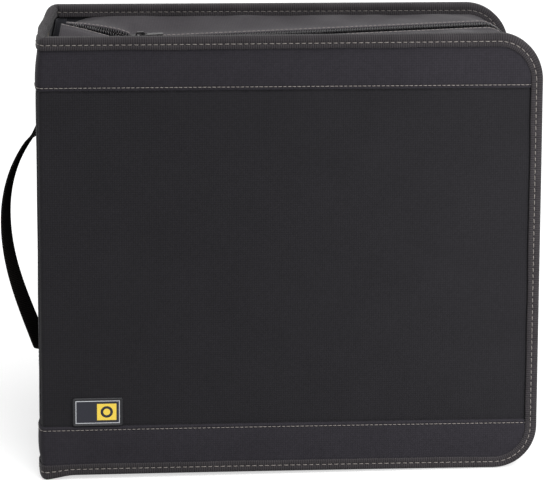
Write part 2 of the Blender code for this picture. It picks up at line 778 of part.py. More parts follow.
def build_pages(paint):
    """The disc sleeves as one stepped block, gripped by a strip at the spine."""
    outer = PAGE_HALF + GAP + STRIP_THICK
    strip_x = inner_face_x(outer) + GAP
    left = strip_x + STRIP_THICK + GAP
    page_end = WIDTH - PAGE_INSET - PAGE_SIDE_SLACK
    grip = strip_x + STRIP_THICK + STRIP_GRIP
    low, high = PAGE_INSET, HEIGHT - PAGE_INSET
    inner = PAGE_HALF + GAP
    outline = [(strip_x, -outer), (grip, -outer), (grip, -inner), (strip_x + STRIP_THICK, -inner)]
    outline += [(x, -y) for x, y in reversed(outline)]
    strip = loft([[(x, y, z) for x, y in outline] for z in (low, high)])
    add_piece("page_binding_strip", *strip, paint["strip"])

    rings = []

    def leaf(y, step):
        right, bottom, top = page_end - step, low + step, high - step
        cut = LEAF_CORNER
        rings.append([
            (left, y, bottom), (right - cut, y, bottom), (right, y, bottom + cut),
            (right, y, top - cut), (right - cut, y, top), (left, y, top),
        ])

    for k in range(LEAF_COUNT):
        start = -PAGE_HALF + k * LEAF_PITCH
        leaf(start, 0.0)
        leaf(start + LEAF_THICK, 0.0)
        if k < LEAF_COUNT - 1:
            leaf(start + LEAF_THICK, LEAF_STEP)
            leaf(start + LEAF_PITCH, LEAF_STEP)
    add_piece("page_block", *loft(rings), paint["page"])


def build_label(hinge, paint):
    """Moulded patch with a raised rim round a plain field."""
    left = FOLD_DEPTH + LABEL_FROM_FOLD
    low = BOTTOM_BAND_HEIGHT + GAP
    back = PANEL_FACE - GAP
    face = back - LABEL_THICK
    shapes = []
    steps = ((back, 0.0), (face, 0.0), (face, LABEL_RIM), (face + LABEL_RECESS, LABEL_RIM))
    for depth, inset in steps:
        y = face_y(FRONT, depth)
        x0, x1 = left + inset, left + LABEL_WIDTH - inset
        z0, z1 = low + inset, low + LABEL_HEIGHT - inset
        shapes.append([(x0, y, z0), (x1, y, z0), (x1, y, z1), (x0, y, z1)])
    add_piece("label_patch", *loft(shapes), paint["label"], hinge)


def build_case():
    """Build the whole case."""
    clear_scene()
    paint = {
        "cloth": make_material("woven_polyester", "2a292b", 0.85),
        "band": make_material("woven_polyester_band", "2e2d32", 0.85),
        "binding": make_material("grosgrain_binding", "373538", 0.8),
        "gusset": make_material("gusset_nylon", "4a4649", 0.75),
        "zip_tape": make_material("zip_tape", "242325", 0.85),
        "coil": make_material("zip_coil_nylon", "1c1b1d", 0.45),
        "metal": make_material("slider_black_enamel", "161516", 0.35, 0.6),
        "webbing": make_material("handle_webbing", "161512", 0.85),
        "board": make_material("stiffener_board", "3a3a3c", 0.6),
        "lining": make_material("lining_nylon", "2b2b2d", 0.7),
        "page": make_material("sleeve_film", "c9ccd2", 0.4),
        "strip": make_material("page_binding_cloth", "1f1f21", 0.7),
        "label": make_material("label_rubber", "16161c", 0.5),
    }
    front_hinge = add_empty("front_cover_hinge", (FOLD_DEPTH, -HALF, HEIGHT / 2))
    rear_hinge = add_empty("rear_cover_hinge", (FOLD_DEPTH, HALF, HEIGHT / 2))
    track = add_empty("zip_track", on_zip([(0.0, 0.0, 0.0)])[0], rear_hinge, ZIP_SLOPE)
    pivot = add_empty("pull_pivot", on_zip([(0.0, 0.0, PULL_AXIS_RISE)])[0], track, ZIP_SLOPE)

    build_spine(paint)
    build_handle(paint)
    build_pages(paint)
    build_cover(FRONT, "front", front_hinge, paint)
    build_cover(REAR, "rear", rear_hinge, paint)
    build_zip_stops(front_hinge, rear_hinge, paint)
    build_label(front_hinge, paint)
    build_slider(track, paint)
    build_pull_tab(pivot, paint)


build_case()
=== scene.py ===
"""Dressed model of a large zip-round CD storage case with a carrying handle.

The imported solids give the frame. This script gives them their cloth, tapes,
stitches, zip teeth and finishes. Lengths are in millimetres in the case's
own coordinates: x from the spine's fold line, y from front to back, z up.
"depth" runs inwards from a cover's outer face, "inset" inwards from the rim.
"""

import logging
import math
from collections.abc import Callable, Sequence
from dataclasses import dataclass, field
from enum import Enum
from typing import Any

import bmesh
import bpy
import numpy as np
from mathutils import Matrix, Vector


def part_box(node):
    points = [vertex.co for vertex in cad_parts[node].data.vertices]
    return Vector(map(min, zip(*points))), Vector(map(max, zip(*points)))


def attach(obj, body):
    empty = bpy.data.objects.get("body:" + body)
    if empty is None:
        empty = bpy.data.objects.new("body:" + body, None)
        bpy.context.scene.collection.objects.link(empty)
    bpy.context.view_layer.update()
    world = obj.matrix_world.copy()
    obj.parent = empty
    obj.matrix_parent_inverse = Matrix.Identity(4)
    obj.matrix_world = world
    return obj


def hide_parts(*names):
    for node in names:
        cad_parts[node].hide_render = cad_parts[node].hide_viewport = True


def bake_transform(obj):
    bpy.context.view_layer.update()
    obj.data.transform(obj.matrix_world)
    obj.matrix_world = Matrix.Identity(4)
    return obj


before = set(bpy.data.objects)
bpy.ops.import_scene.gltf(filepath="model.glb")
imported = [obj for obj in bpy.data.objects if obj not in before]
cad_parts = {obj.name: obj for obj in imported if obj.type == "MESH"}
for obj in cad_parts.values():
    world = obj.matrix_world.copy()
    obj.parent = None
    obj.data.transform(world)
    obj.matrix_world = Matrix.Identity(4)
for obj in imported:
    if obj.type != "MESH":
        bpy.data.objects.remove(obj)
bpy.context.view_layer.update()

log = logging.getLogger("case")
Array = np.ndarray

MM = 0.001
MIDDLE_X = 152.1
WIDTH, HEIGHT, THICKNESS = 330.0, 299.0, 104.0
HALF = THICKNESS / 2
CORNER = 30.0
EDGE = WIDTH - CORNER
FOLD, FRONT_FOLD = 7.0, 0.5
SPINE_BOW, FRONT_BOW = 1.5, 3.4
SPINE_POWER, FRONT_POWER = 5.5, 14.0
BAND_TOP, BAND_FOOT = 35.3, 34.8
RIM_INSET = 1.1
PANEL_FACE, PANEL_BACK, BAND_BACK = 1.6, 3.3, 2.6
FLANGE_FACE, COVER_THICK = 6.2, 8.1
BINDING_WIDTH = 8.2
STITCH_INSET = 4.8
SEAM_INSET = 9.6
SAG_START, SAG_CORNER, SAG_SIDE = 6.3, -5.2, 3.8
ZIP_INSET = SEAM_INSET + SAG_SIDE - 1.0
FOLD_REACH = 0.88
ZIP_START, ZIP_OPEN_TO = 18.0, 71.5
ZIP_SPREAD, ZIP_SPREAD_LENGTH = 9.0, 25.0
STITCH_PITCH = 4.2
SEAM_PITCH = 3.1
ROLL_THICK, ROLL_START, ROLL_RADIUS = 6.0, -0.1, 2.9
LAP = 2.3
LAP_GAP = 0.15
# How far the cloth has settled; settled() says where.
DRAWN_REAR, DRAWN_FRONT, DRAWN_FOOT = 7.0, 2.5, 1.3
SIDE_OUT, SIDE_IN, REAR_LEAN = 5.5, 3.9, 2.9
CORNER_SAG, REAR_RISE = 2.9, 2.4
FRONT_RISE, FRONT_DROP, FRONT_DIP = 4.5, 3.2, 1.2
# Heights and places where settled boards and linings get an extra edge to bend at.
SETTLE_HEIGHTS = (150, 180, 210, 240, 258, 266, 274, 282, 290)
SETTLE_PLACES = (16, 26, 40, 56, 220, 245, 270, 295, 315)


class Side(Enum):
    """Which cover a piece belongs to, and the sign of its Y."""

    FRONT = -1
    REAR = 1

    @property
    def body(self) -> str:
        """Name of the body that the cover's pieces ride on."""
        return "front_cover" if self is Side.FRONT else "rear_cover"

    @property
    def fold(self) -> float:
        """x where the cover's flat cloth starts."""
        return FRONT_FOLD if self is Side.FRONT else FOLD

    @property
    def label(self) -> str:
        """Word that starts the names of the cover's pieces."""
        return "front" if self is Side.FRONT else "rear"


class Coordinates(Enum):
    """Where a material reads its pattern: the piece's UV map or its object."""

    UV = "UV"
    OBJECT = "Object"


# Colour and shader nodes


def linear(hex_colour: str) -> tuple[float, float, float, float]:
    """Turn an sRGB colour into the linear one that shaders use.

    Each channel c is c / 12.92 up to 0.04045 and ((c + 0.055) / 1.055) ^ 2.4
    above it.

    Args:
        hex_colour: six hexadecimal digits, such as "2a292b".

    Returns:
        Red, green, blue and alpha.
    """
    channels = np.array([int(hex_colour[i : i + 2], 16) for i in (0, 2, 4)]) / 255
    bent = ((channels + 0.055) / 1.055) ** 2.4
    red, green, blue = np.where(channels <= 0.04045, channels / 12.92, bent).tolist()
    return red, green, blue, 1.0


def feed(tree: bpy.types.NodeTree, node: bpy.types.Node, inputs: dict[Any, Any]) -> None:
    """Link or set a node's inputs.

    Args:
        tree: the node's tree.
        node: the node.
        inputs: sockets, numbers or colours by input name or number.
    """
    for key, value in inputs.items():
        if isinstance(value, bpy.types.NodeSocket):
            tree.links.new(value, node.inputs[key])
        else:
            node.inputs[key].default_value = value


def add_node(
    tree: bpy.types.NodeTree, kind: str, inputs: dict[Any, Any] | Sequence[Any] = (), **settings: Any
) -> Any:
    """Add a node with its settings, values and links.

    Args:
        tree: node tree that gets the node.
        kind: the node's type name.
        inputs: values or sockets by input name or number, or in order.
        settings: the node's own properties.

    Returns:
        The node's outputs.
    """
    node = tree.nodes.new(kind)
    for key, value in settings.items():
        setattr(node, key, value)
    feed(tree, node, inputs if isinstance(inputs, dict) else dict(enumerate(inputs)))
    return node.outputs


def pattern_axes(tree: bpy.types.NodeTree, source: Coordinates) -> tuple[Any, Any, Any]:
    """Pattern coordinates in millimetres.

    Args:
        tree: the material's node tree.
        source: the UV map, or the object's own coordinates.

    Returns:
        The three separate coordinates; the third is 0 for a UV map.
    """
    place = add_node(tree, "ShaderNodeTexCoord")[source.value]
    grown = add_node(tree, "ShaderNodeMapping", {"Vector": place, "Scale": (1000.0, 1000.0, 1000.0)})[0]
    split = add_node(tree, "ShaderNodeSeparateXYZ", [grown])
    return split[0], split[1], split[2]


def seen_by_camera(tree: bpy.types.NodeTree) -> Any:
    """1 for rays that come from the camera, also by a mirror or through film."""
    rays = add_node(tree, "ShaderNodeLightPath")
    seen = rays["Is Camera Ray"]
    for kind in ("Is Glossy Ray", "Is Transmission Ray"):
        seen = add_node(tree, "ShaderNodeMath", (seen, rays[kind]), operation="MAXIMUM")[0]
    return seen


def weave(tree: bpy.types.NodeTree, across: Any, along: Any, pitch: float) -> tuple[Any, Any]:
    """Height of a plain weave.

    With a = |sin(pi u / pitch)| and b = |sin(pi v / pitch)|, the threads that
    run along v stand up in every other square as a (0.6 + 0.4 b), and those
    that run along u stand up in the rest as b (0.6 + 0.4 a).

    Args:
        tree: the material's node tree.
        across: coordinate u in millimetres.
        along: coordinate v in millimetres.
        pitch: spacing of the threads in millimetres.

    Returns:
        The height from 0 to 1, and which of the two threads is on top.
    """
    waves = []
    for axis in (across, along):
        turn = add_node(tree, "ShaderNodeMath", (axis, np.pi / pitch), operation="MULTIPLY")[0]
        waves.append(add_node(tree, "ShaderNodeMath", (turn,), operation="SINE")[0])
    warp, weft = [add_node(tree, "ShaderNodeMath", (wave,), operation="ABSOLUTE")[0] for wave in waves]
    crossing = add_node(tree, "ShaderNodeMath", waves, operation="MULTIPLY")[0]
    upper = add_node(tree, "ShaderNodeMath", (crossing, 0.0), operation="GREATER_THAN")[0]
    tops = []
    for own, other in ((warp, weft), (weft, warp)):
        share = add_node(tree, "ShaderNodeMath", (other, 0.4, 0.6), operation="MULTIPLY_ADD")[0]
        tops.append(add_node(tree, "ShaderNodeMath", (own, share), operation="MULTIPLY")[0])
    height = add_node(tree, "ShaderNodeMix", {0: upper, 2: tops[1], 3: tops[0]})[0]
    return height, upper


# Finishes


@dataclass(frozen=True)
class Finish:
    """What every finish has: a name, and a material that it paints."""

    name: str

    def paint(self, tree: bpy.types.NodeTree) -> dict[str, Any]:
        """Add the finish's nodes.

        Args:
            tree: the material's node tree.

        Returns:
            What the shader takes, by input name.
        """
        raise NotImplementedError

    def material(self) -> bpy.types.Material:
        """Build the material round the standard shader.

        Returns:
            The painted material.
        """
        material = bpy.data.materials.new(self.name)
        material.use_nodes = True
        tree = material.node_tree
        feed(tree, tree.nodes["Principled BSDF"], self.paint(tree))
        return material


@dataclass(frozen=True)
class WovenCloth(Finish):
    """Polyester oxford cloth: plain weave of fine dull threads.

    The weave gives the eye an even, very fine grain, with a painted shade
    where the threads dip, and the coated yarn a faint sheen where the cloth
    turns away. Real threads lie 0.5 mm apart, less than a pixel of the
    picture, so they are drawn at about 1.5 mm.
    """

    thread: str
    # Painted shade: the colour that the weave takes where its threads dip between each other.
    shade: str
    pitch: float = 1.5
    relief: float = 0.07
    roughness: float = 0.82
    sheen: float = 0.05
    mottle: float = 0.07
    source: Coordinates = Coordinates.UV

    def paint(self, tree: bpy.types.NodeTree) -> dict[str, Any]:
        """A weave that follows the pattern coordinates.

        Args:
            tree: the material\'s node tree.

        Returns:
            What the shader takes, by input name.
        """
        u, v, w = pattern_axes(tree, self.source)
        if self.source is Coordinates.OBJECT:
            v = add_node(tree, "ShaderNodeMath", (v, w), operation="ADD")[0]
        height, upper = weave(tree, u, v, self.pitch)
        place = add_node(tree, "ShaderNodeTexCoord")["Object"]
        # Uneven dye and slub: soft patches a few centimetres wide.
        spread = {"Vector": place, "Scale": 28.0, "Detail": 5.0, "Roughness": 0.62}
        patches = add_node(tree, "ShaderNodeTexNoise", spread)[0]
        level = add_node(tree, "ShaderNodeMapRange", (patches, 0.3, 0.7, 1 - self.mottle, 1 + self.mottle))[0]
        warm = add_node(tree, "ShaderNodeMath", (upper, 0.04, 0.98), operation="MULTIPLY_ADD")[0]
        level = add_node(tree, "ShaderNodeMath", (level, warm), operation="MULTIPLY")[0]
        # Single thick and thin yarns, about 2 mm apart.
        slubs = add_node(tree, "ShaderNodeTexNoise", {"Vector": place, "Scale": 520.0, "Detail": 2.0})[0]
        uneven = add_node(tree, "ShaderNodeMapRange", (slubs, 0.3, 0.7, 0.9, 1.1))[0]
        level = add_node(tree, "ShaderNodeMath", (level, uneven), operation="MULTIPLY")[0]
        # The thread colour fades to the painted shade colour in the weave's low places.
        tones = {0: height, 6: linear(self.shade), 7: linear(self.thread)}
        threads = add_node(tree, "ShaderNodeMix", tones, data_type="RGBA")[2]
        colour = add_node(tree, "ShaderNodeVectorMath", {0: threads, "Scale": level}, operation="SCALE")[0]
        rise = {"Height": height, "Distance": self.relief * MM, "Strength": 0.5}
        bump = add_node(tree, "ShaderNodeBump", rise)[0]
        reach = (height, 0.0, 1.0, self.roughness + 0.1, self.roughness - 0.05)
        dull = add_node(tree, "ShaderNodeMapRange", reach)[0]
        return {
            "Base Color": colour, "Roughness": dull, "Normal": bump, "Specular IOR Level": 0.12,
            "Sheen Weight": self.sheen, "Sheen Roughness": 0.5,
        }


@dataclass(frozen=True)
class RibbedTape(Finish):
    """Grosgrain or zip tape: close ribs straight across a narrow weave.

    The ribs give short bright and dark dashes along the tape's edge: the
    bump, and a painted shade in the grooves between ribs. Real ribs lie
    0.9 mm apart and are drawn a little coarser.
    """

    rib: str
    # Painted shade: the colour of the grooves between ribs.
    gap: str
    pitch: float = 1.5
    relief: float = 0.22
    roughness: float = 0.78
    sheen: float = 0.1
    slant: float = 0.0
    specular: float = 0.14

    def paint(self, tree: bpy.types.NodeTree) -> dict[str, Any]:
        """Ribs across the tape; u of the UV map runs along it.

        Args:
            tree: the material\'s node tree.

        Returns:
            What the shader takes, by input name.
        """
        u, v, _ = pattern_axes(tree, Coordinates.UV)
        place = add_node(tree, "ShaderNodeTexCoord")["Object"]
        wobble = add_node(tree, "ShaderNodeTexNoise", {"Vector": place, "Scale": 420.0, "Detail": 2.0})[0]
        lean = add_node(tree, "ShaderNodeMath", (v, self.slant, u), operation="MULTIPLY_ADD")[0]
        lean = add_node(tree, "ShaderNodeMath", (wobble, 0.35, lean), operation="MULTIPLY_ADD")[0]
        turn = add_node(tree, "ShaderNodeMath", (lean, np.pi / self.pitch), operation="MULTIPLY")[0]
        wave = add_node(tree, "ShaderNodeMath", (turn,), operation="SINE")[0]
        rib = add_node(tree, "ShaderNodeMath", (wave,), operation="ABSOLUTE")[0]
        picks = add_node(tree, "ShaderNodeMath", (v, np.pi / 0.9), operation="MULTIPLY")[0]
        picks = add_node(tree, "ShaderNodeMath", (picks,), operation="SINE")[0]
        height = add_node(tree, "ShaderNodeMath", (picks, 0.08, rib), operation="MULTIPLY_ADD")[0]
        # The rib colour fades to the painted shade colour in the grooves between ribs.
        tones = {0: height, 6: linear(self.gap), 7: linear(self.rib)}
        threads = add_node(tree, "ShaderNodeMix", tones, data_type="RGBA")[2]
        patches = add_node(tree, "ShaderNodeTexNoise", {"Vector": place, "Scale": 60.0, "Detail": 4.0})[0]
        level = add_node(tree, "ShaderNodeMapRange", (patches, 0.3, 0.7, 0.84, 1.16))[0]
        colour = add_node(tree, "ShaderNodeVectorMath", {0: threads, "Scale": level}, operation="SCALE")[0]
        rise = {"Height": height, "Distance": self.relief * MM, "Strength": 0.8}
        bump = add_node(tree, "ShaderNodeBump", rise)[0]
        return {
            "Base Color": colour, "Roughness": self.roughness, "Normal": bump, "Specular IOR Level": self.specular,
            "Sheen Weight": self.sheen, "Sheen Roughness": 0.45,
        }


@dataclass(frozen=True)
class Moulded(Finish):
    """Moulded or cast and coated part: nylon teeth, enamelled zinc, rubber.

    A skin without grain, with a soft highlight and tiny uneven spots.
    """

    colour: str
    roughness: float
    metallic: float = 0.0
    coat: float = 0.0
    grain: float = 900.0
    relief: float = 0.02

    def paint(self, tree: bpy.types.NodeTree) -> dict[str, Any]:
        """A smooth skin with fine uneven roughness.

        Args:
            tree: the material\'s node tree.

        Returns:
            What the shader takes, by input name.
        """
        place = add_node(tree, "ShaderNodeTexCoord")["Object"]
        spots = add_node(tree, "ShaderNodeTexNoise", {"Vector": place, "Scale": self.grain, "Detail": 3.0})[0]
        reach = (spots, 0.3, 0.7, self.roughness - 0.07, self.roughness + 0.1)
        rough = add_node(tree, "ShaderNodeMapRange", reach)[0]
        level = add_node(tree, "ShaderNodeMapRange", (spots, 0.3, 0.7, 0.85, 1.15))[0]
        tone = {0: linear(self.colour)[:3], "Scale": level}
        colour = add_node(tree, "ShaderNodeVectorMath", tone, operation="SCALE")[0]
        bump = add_node(tree, "ShaderNodeBump", {"Height": spots, "Distance": self.relief * MM, "Strength": 0.5})[0]
        return {
            "Base Color": colour, "Roughness": rough, "Normal": bump,
            "Metallic": self.metallic, "Coat Weight": self.coat, "Coat Roughness": 0.25,
        }


@dataclass(frozen=True)
class SewingThread(Finish):
    """Twisted polyester thread: a pale warm grey with a slight lustre."""

    colour: str
    twist: float = 0.9

    def paint(self, tree: bpy.types.NodeTree) -> dict[str, Any]:
        """Strands that slant along u of the UV map.

        Args:
            tree: the material\'s node tree.

        Returns:
            What the shader takes, by input name.
        """
        u, v, _ = pattern_axes(tree, Coordinates.UV)
        lean = add_node(tree, "ShaderNodeMath", (u, v), operation="ADD")[0]
        turn = add_node(tree, "ShaderNodeMath", (lean, 2 * np.pi / self.twist), operation="MULTIPLY")[0]
        strand = add_node(tree, "ShaderNodeMath", (turn,), operation="SINE")[0]
        level = add_node(tree, "ShaderNodeMapRange", (strand, -1.0, 1.0, 0.8, 1.08))[0]
        tone = {0: linear(self.colour)[:3], "Scale": level}
        colour = add_node(tree, "ShaderNodeVectorMath", tone, operation="SCALE")[0]
        return {"Base Color": colour, "Roughness": 0.6, "Sheen Weight": 0.2, "Sheen Roughness": 0.4}


@dataclass(frozen=True)
class NonwovenFelt(Finish):
    """Spun-bonded polypropylene behind the discs: matted fibres, pressed dots."""

    colour: str

    def paint(self, tree: bpy.types.NodeTree) -> dict[str, Any]:
        """Matted fibres with bonding dots every 1.6 mm.

        Args:
            tree: the material\'s node tree.

        Returns:
            What the shader takes, by input name.
        """
        place = add_node(tree, "ShaderNodeTexCoord")["Object"]
        matted = {"Vector": place, "Scale": 700.0, "Detail": 6.0, "Distortion": 1.5}
        fibres = add_node(tree, "ShaderNodeTexNoise", matted)[0]
        dots = add_node(tree, "ShaderNodeTexVoronoi", {"Vector": place, "Scale": 620.0, "Randomness": 0.15})[0]
        level = add_node(tree, "ShaderNodeMapRange", (fibres, 0.3, 0.7, 0.8, 1.15))[0]
        tone = {0: linear(self.colour)[:3], "Scale": level}
        colour = add_node(tree, "ShaderNodeVectorMath", tone, operation="SCALE")[0]
        bump = add_node(tree, "ShaderNodeBump", {"Height": dots, "Distance": 0.08 * MM, "Strength": 0.5})[0]
        return {"Base Color": colour, "Roughness": 0.8, "Normal": bump}


@dataclass(frozen=True)
class ClearFilm(Finish):
    """Cast polypropylene film: clear, with slack glints where it buckles."""

    colour: str

    def paint(self, tree: bpy.types.NodeTree) -> dict[str, Any]:
        """A see-through gloss with shallow buckles.

        Args:
            tree: the material\'s node tree.

        Returns:
            What the shader takes, by input name.
        """
        place = add_node(tree, "ShaderNodeTexCoord")["Object"]
        slack = {"Vector": place, "Scale": 30.0, "Detail": 1.0, "Distortion": 0.6}
        buckles = add_node(tree, "ShaderNodeTexNoise", slack)[0]
        bump = add_node(tree, "ShaderNodeBump", {"Height": buckles, "Distance": 1.2 * MM, "Strength": 0.5})[0]
        rough = add_node(tree, "ShaderNodeMapRange", (buckles, 0.3, 0.7, 0.08, 0.2))[0]
        return {
            "Base Color": linear(self.colour), "Roughness": rough, "Normal": bump, "IOR": 1.49, "Alpha": 0.35,
        }


@dataclass(frozen=True)
class PrintedPatch(Finish):
    """Moulded rubber label with flat printed fields and no lettering.

    A near black field inside a thin pale frame carries a yellow block with a
    dark ring.
    """

    width: float
    height: float
    rubber: str = "17171b"
    field_colour: str = "1b1c26"
    frame_colour: str = "c9cbd0"
    block_colour: str = "f3d352"
    frame_inset: float = 2.0
    frame_width: float = 0.5
    block_inset: float = 4.2
    block_width: float = 12.8
    ring_radius: float = 3.2
    ring_half_width: float = 0.9

    def paint(self, tree: bpy.types.NodeTree) -> dict[str, Any]:
        """Printed fields, as rectangles on the label's own map.

        Args:
            tree: the material\'s node tree.

        Returns:
            What the shader takes, by input name.
        """
        x, z, _ = pattern_axes(tree, Coordinates.UV)

        def within(x0: float, x1: float, z0: float, z1: float) -> Any:
            """1 inside a rectangle measured from the label's lower left.

            Args:
                x0: left side.
                x1: right side.
                z0: lower side.
                z1: upper side.

            Returns:
                The mask.
            """
            sides = []
            for axis, low, high in ((x, x0, x1), (z, z0, z1)):
                middle, half = (low + high) / 2, (high - low) / 2
                sides.append(add_node(tree, "ShaderNodeMath", (axis, middle, half), operation="COMPARE")[0])
            return add_node(tree, "ShaderNodeMath", sides, operation="MULTIPLY")[0]

        colour: Any = linear(self.rubber)
        w, h = self.width, self.height
        frame_in, block_in = self.frame_inset + self.frame_width, self.block_inset
        block_left = w - block_in - self.block_width
        fields = [
            ((self.frame_inset, w - self.frame_inset, self.frame_inset, h - self.frame_inset), self.frame_colour),
            ((frame_in, w - frame_in, frame_in, h - frame_in), self.field_colour),
            ((block_left, w - block_in, block_in, h - block_in), self.block_colour),
        ]
        masks = [(within(*area), tone) for area, tone in fields]
        middle = {"X": block_left + self.block_width / 2, "Y": 0.0, "Z": h / 2}
        centre = add_node(tree, "ShaderNodeCombineXYZ", middle)[0]
        flat = add_node(tree, "ShaderNodeCombineXYZ", {"X": x, "Y": 0.0, "Z": z})[0]
        radius = add_node(tree, "ShaderNodeVectorMath", (flat, centre), operation="DISTANCE")["Value"]
        ring = (radius, self.ring_radius, self.ring_half_width)
        masks.append((add_node(tree, "ShaderNodeMath", ring, operation="COMPARE")[0], self.field_colour))
        for mask, tone in masks:
            mix = {0: mask, 6: colour, 7: linear(tone)}
            colour = add_node(tree, "ShaderNodeMix", mix, data_type="RGBA")[2]
        place = add_node(tree, "ShaderNodeTexCoord")["Object"]
        grain = add_node(tree, "ShaderNodeTexNoise", {"Vector": place, "Scale": 900.0, "Detail": 3.0})[0]
        bump = add_node(tree, "ShaderNodeBump", {"Height": grain, "Distance": 0.03 * MM, "Strength": 0.4})[0]
        return {"Base Color": colour, "Roughness": 0.5, "Normal": bump, "Specular IOR Level": 0.4}


class Wardrobe:
    """Every finish of the case, each built once when it is first asked for."""

    # In the woven cloths and tapes, the second colour is a painted shade for the weave's gaps or the ribs' grooves.
    # The main cloth, near black with a cool cast, as the flat covers show it.
    PANEL = WovenCloth("woven_polyester_oxford", "232225", "1c1b1e")
    # The lapped bands: the same weave, a shade lighter and more violet.
    BAND = WovenCloth("woven_polyester_band", "2c2a2f", "252328")
    # Nylon taffeta of the gussets: smoother, with more sheen. Its lighter colour is partly the cloth's own and
    # partly a painted sheen.
    GUSSET = WovenCloth(
        "nylon_taffeta_gusset", "403d40", "302d31", pitch=1.1, relief=0.04, roughness=0.62, sheen=0.12
    )
    # Plain lining, seen only when the covers are open.
    LINING = WovenCloth("nylon_lining", "343438", "222226", pitch=1.2, relief=0.05, source=Coordinates.OBJECT)
    # The edge tape: close ribs that catch the light in short dashes, with a painted shade in the grooves between
    # them.
    BINDING = RibbedTape("grosgrain_binding", "393638", "1f1d20")
    # Dull slanting twill behind the teeth.
    TAPE = RibbedTape(
        "zip_tape_twill", "1c1b1d", "0d0d0e", pitch=1.0, relief=0.08, slant=1.0, sheen=0.0, specular=0.03
    )
    # Coarse strap, nearly black with a warm cast, and no gloss.
    WEBBING = RibbedTape(
        "handle_webbing", "242220", "100f0f", pitch=1.8, relief=0.3, slant=0.6, sheen=0.0, specular=0.0
    )
    # Smooth nylon that glints along the chain; its colour is lifted above the nylon's black, partly as a painted
    # sheen on the ridges.
    TEETH = Moulded("nylon_coil_moulded", "2c2b2d", 0.38)
    # Glossy black enamel on cast zinc.
    ENAMEL = Moulded("zinc_slider_enamelled", "131214", 0.32, coat=0.4)
    # Pale grey topstitches that draw every seam.
    THREAD = SewingThread("sewing_thread_grey", "7d7773")
    # Quiet stitches on the handle's ends.
    DARK_THREAD = SewingThread("sewing_thread_charcoal", "4a4648")
    # Brighter fine rows beside the teeth and on the hems.
    ZIP_THREAD = SewingThread("zip_thread", "8f8684")
    # The same topstitches on the inner side, in the grey thread painted darker as shade.
    SHADED_SIDE_THREAD = SewingThread("sewing_thread_shaded", "625d5a")
    FELT = NonwovenFelt("sleeve_nonwoven", "b9bcc2")
    FILM = ClearFilm("sleeve_clear_film", "dfe4ea")
    # Pressed grey-brown board, dull and grainy.
    BOARD = Moulded("pressed_stiffener_board", "4a453e", 0.8, grain=300.0, relief=0.1)

    def __init__(self) -> None:
        """Start with nothing built."""
        self.built: dict[str, bpy.types.Material] = {}

    def get(self, finish: Finish) -> bpy.types.Material:
        """The material of a finish, built the first time.

        Args:
            finish: one of the finishes.

        Returns:
            Its material.
        """
        if finish.name not in self.built:
            self.built[finish.name] = finish.material()
        return self.built[finish.name]


wardrobe = Wardrobe()


# Surfaces


def smooth(share: Any) -> Array:
    """3 t^2 - 2 t^3 of a share held between 0 and 1."""
    share = np.clip(share, 0, 1)
    return share * share * (3 - 2 * share)


def settled(points: Array) -> Array:
    """Where soft cloth lies after use.

    The spine's top end is drawn in by 7 mm at the rear fold and 2.5 mm at the
    front one, fading below the top and 50 mm along the covers. The front
    fold's foot is drawn in by 1.3 mm and its corner sags by 2.9 mm. The
    opening side leans from 5.5 mm out at its foot to 3.9 mm in at its top, and
    the front cover is 4.5 mm taller there, with a dip of 1.2 mm below the top.
    The rear cover stands 2.4 mm taller and leans in by up to 2.9 mm more. The
    closed zip keeps its height.

    Args:
        points: places in case coordinates, any shape with 3 at the end.

    Returns:
        The settled places.
    """
    x, y, z = np.moveaxis(np.asarray(points, dtype=float), -1, 0)
    back, up, along = np.clip((y + HALF) / THICKNESS, 0, 1), np.clip(z / HEIGHT, 0, 1), np.clip(x / WIDTH, 0, 1)
    rear, front, fore = smooth((y - 12) / 30), smooth((-y - 12) / 30), smooth((-y - 6) / 26)
    near = 1 - smooth((x - FOLD) / 50)
    drawn = DRAWN_REAR * smooth((back - 0.28) / 0.66) * smooth((z - HEIGHT + 41) / 38)
    top = np.clip((z - HEIGHT + 44) / 40, 0, 1) ** 2
    drawn = drawn + fore * (DRAWN_FRONT * top + DRAWN_FOOT * (1 - smooth((z - 4) / 14)))
    flare = (SIDE_OUT - (SIDE_OUT + SIDE_IN) * up) * smooth(along)
    lean = REAR_LEAN * rear * smooth((x - 220) / 100) * smooth((z - 150) / 120)
    dip = CORNER_SAG * (1 - rear) * (1 - smooth((x + 3) / 22)) * (1 - smooth(z / 12))
    grow = FRONT_RISE * up - FRONT_DROP - FRONT_DIP * np.exp(-(((z - HEIGHT + 35) / 26) ** 2))
    rise = REAR_RISE * rear * smooth(up) - dip + grow * along**1.5 * front
    return np.stack([x + near * drawn + flare - lean, y, z + rise], -1)


def to_world(points: Array) -> Array:
    """Case coordinates in millimetres as metres in the frame."""
    return (np.asarray(points, dtype=float) - np.array([MIDDLE_X, 0.0, 0.0])) * MM


def linked(name: str, data: Any) -> bpy.types.Object:
    """A new object around its data, linked into the scene."""
    item = bpy.data.objects.new(name, data)
    bpy.context.scene.collection.objects.link(item)
    return item


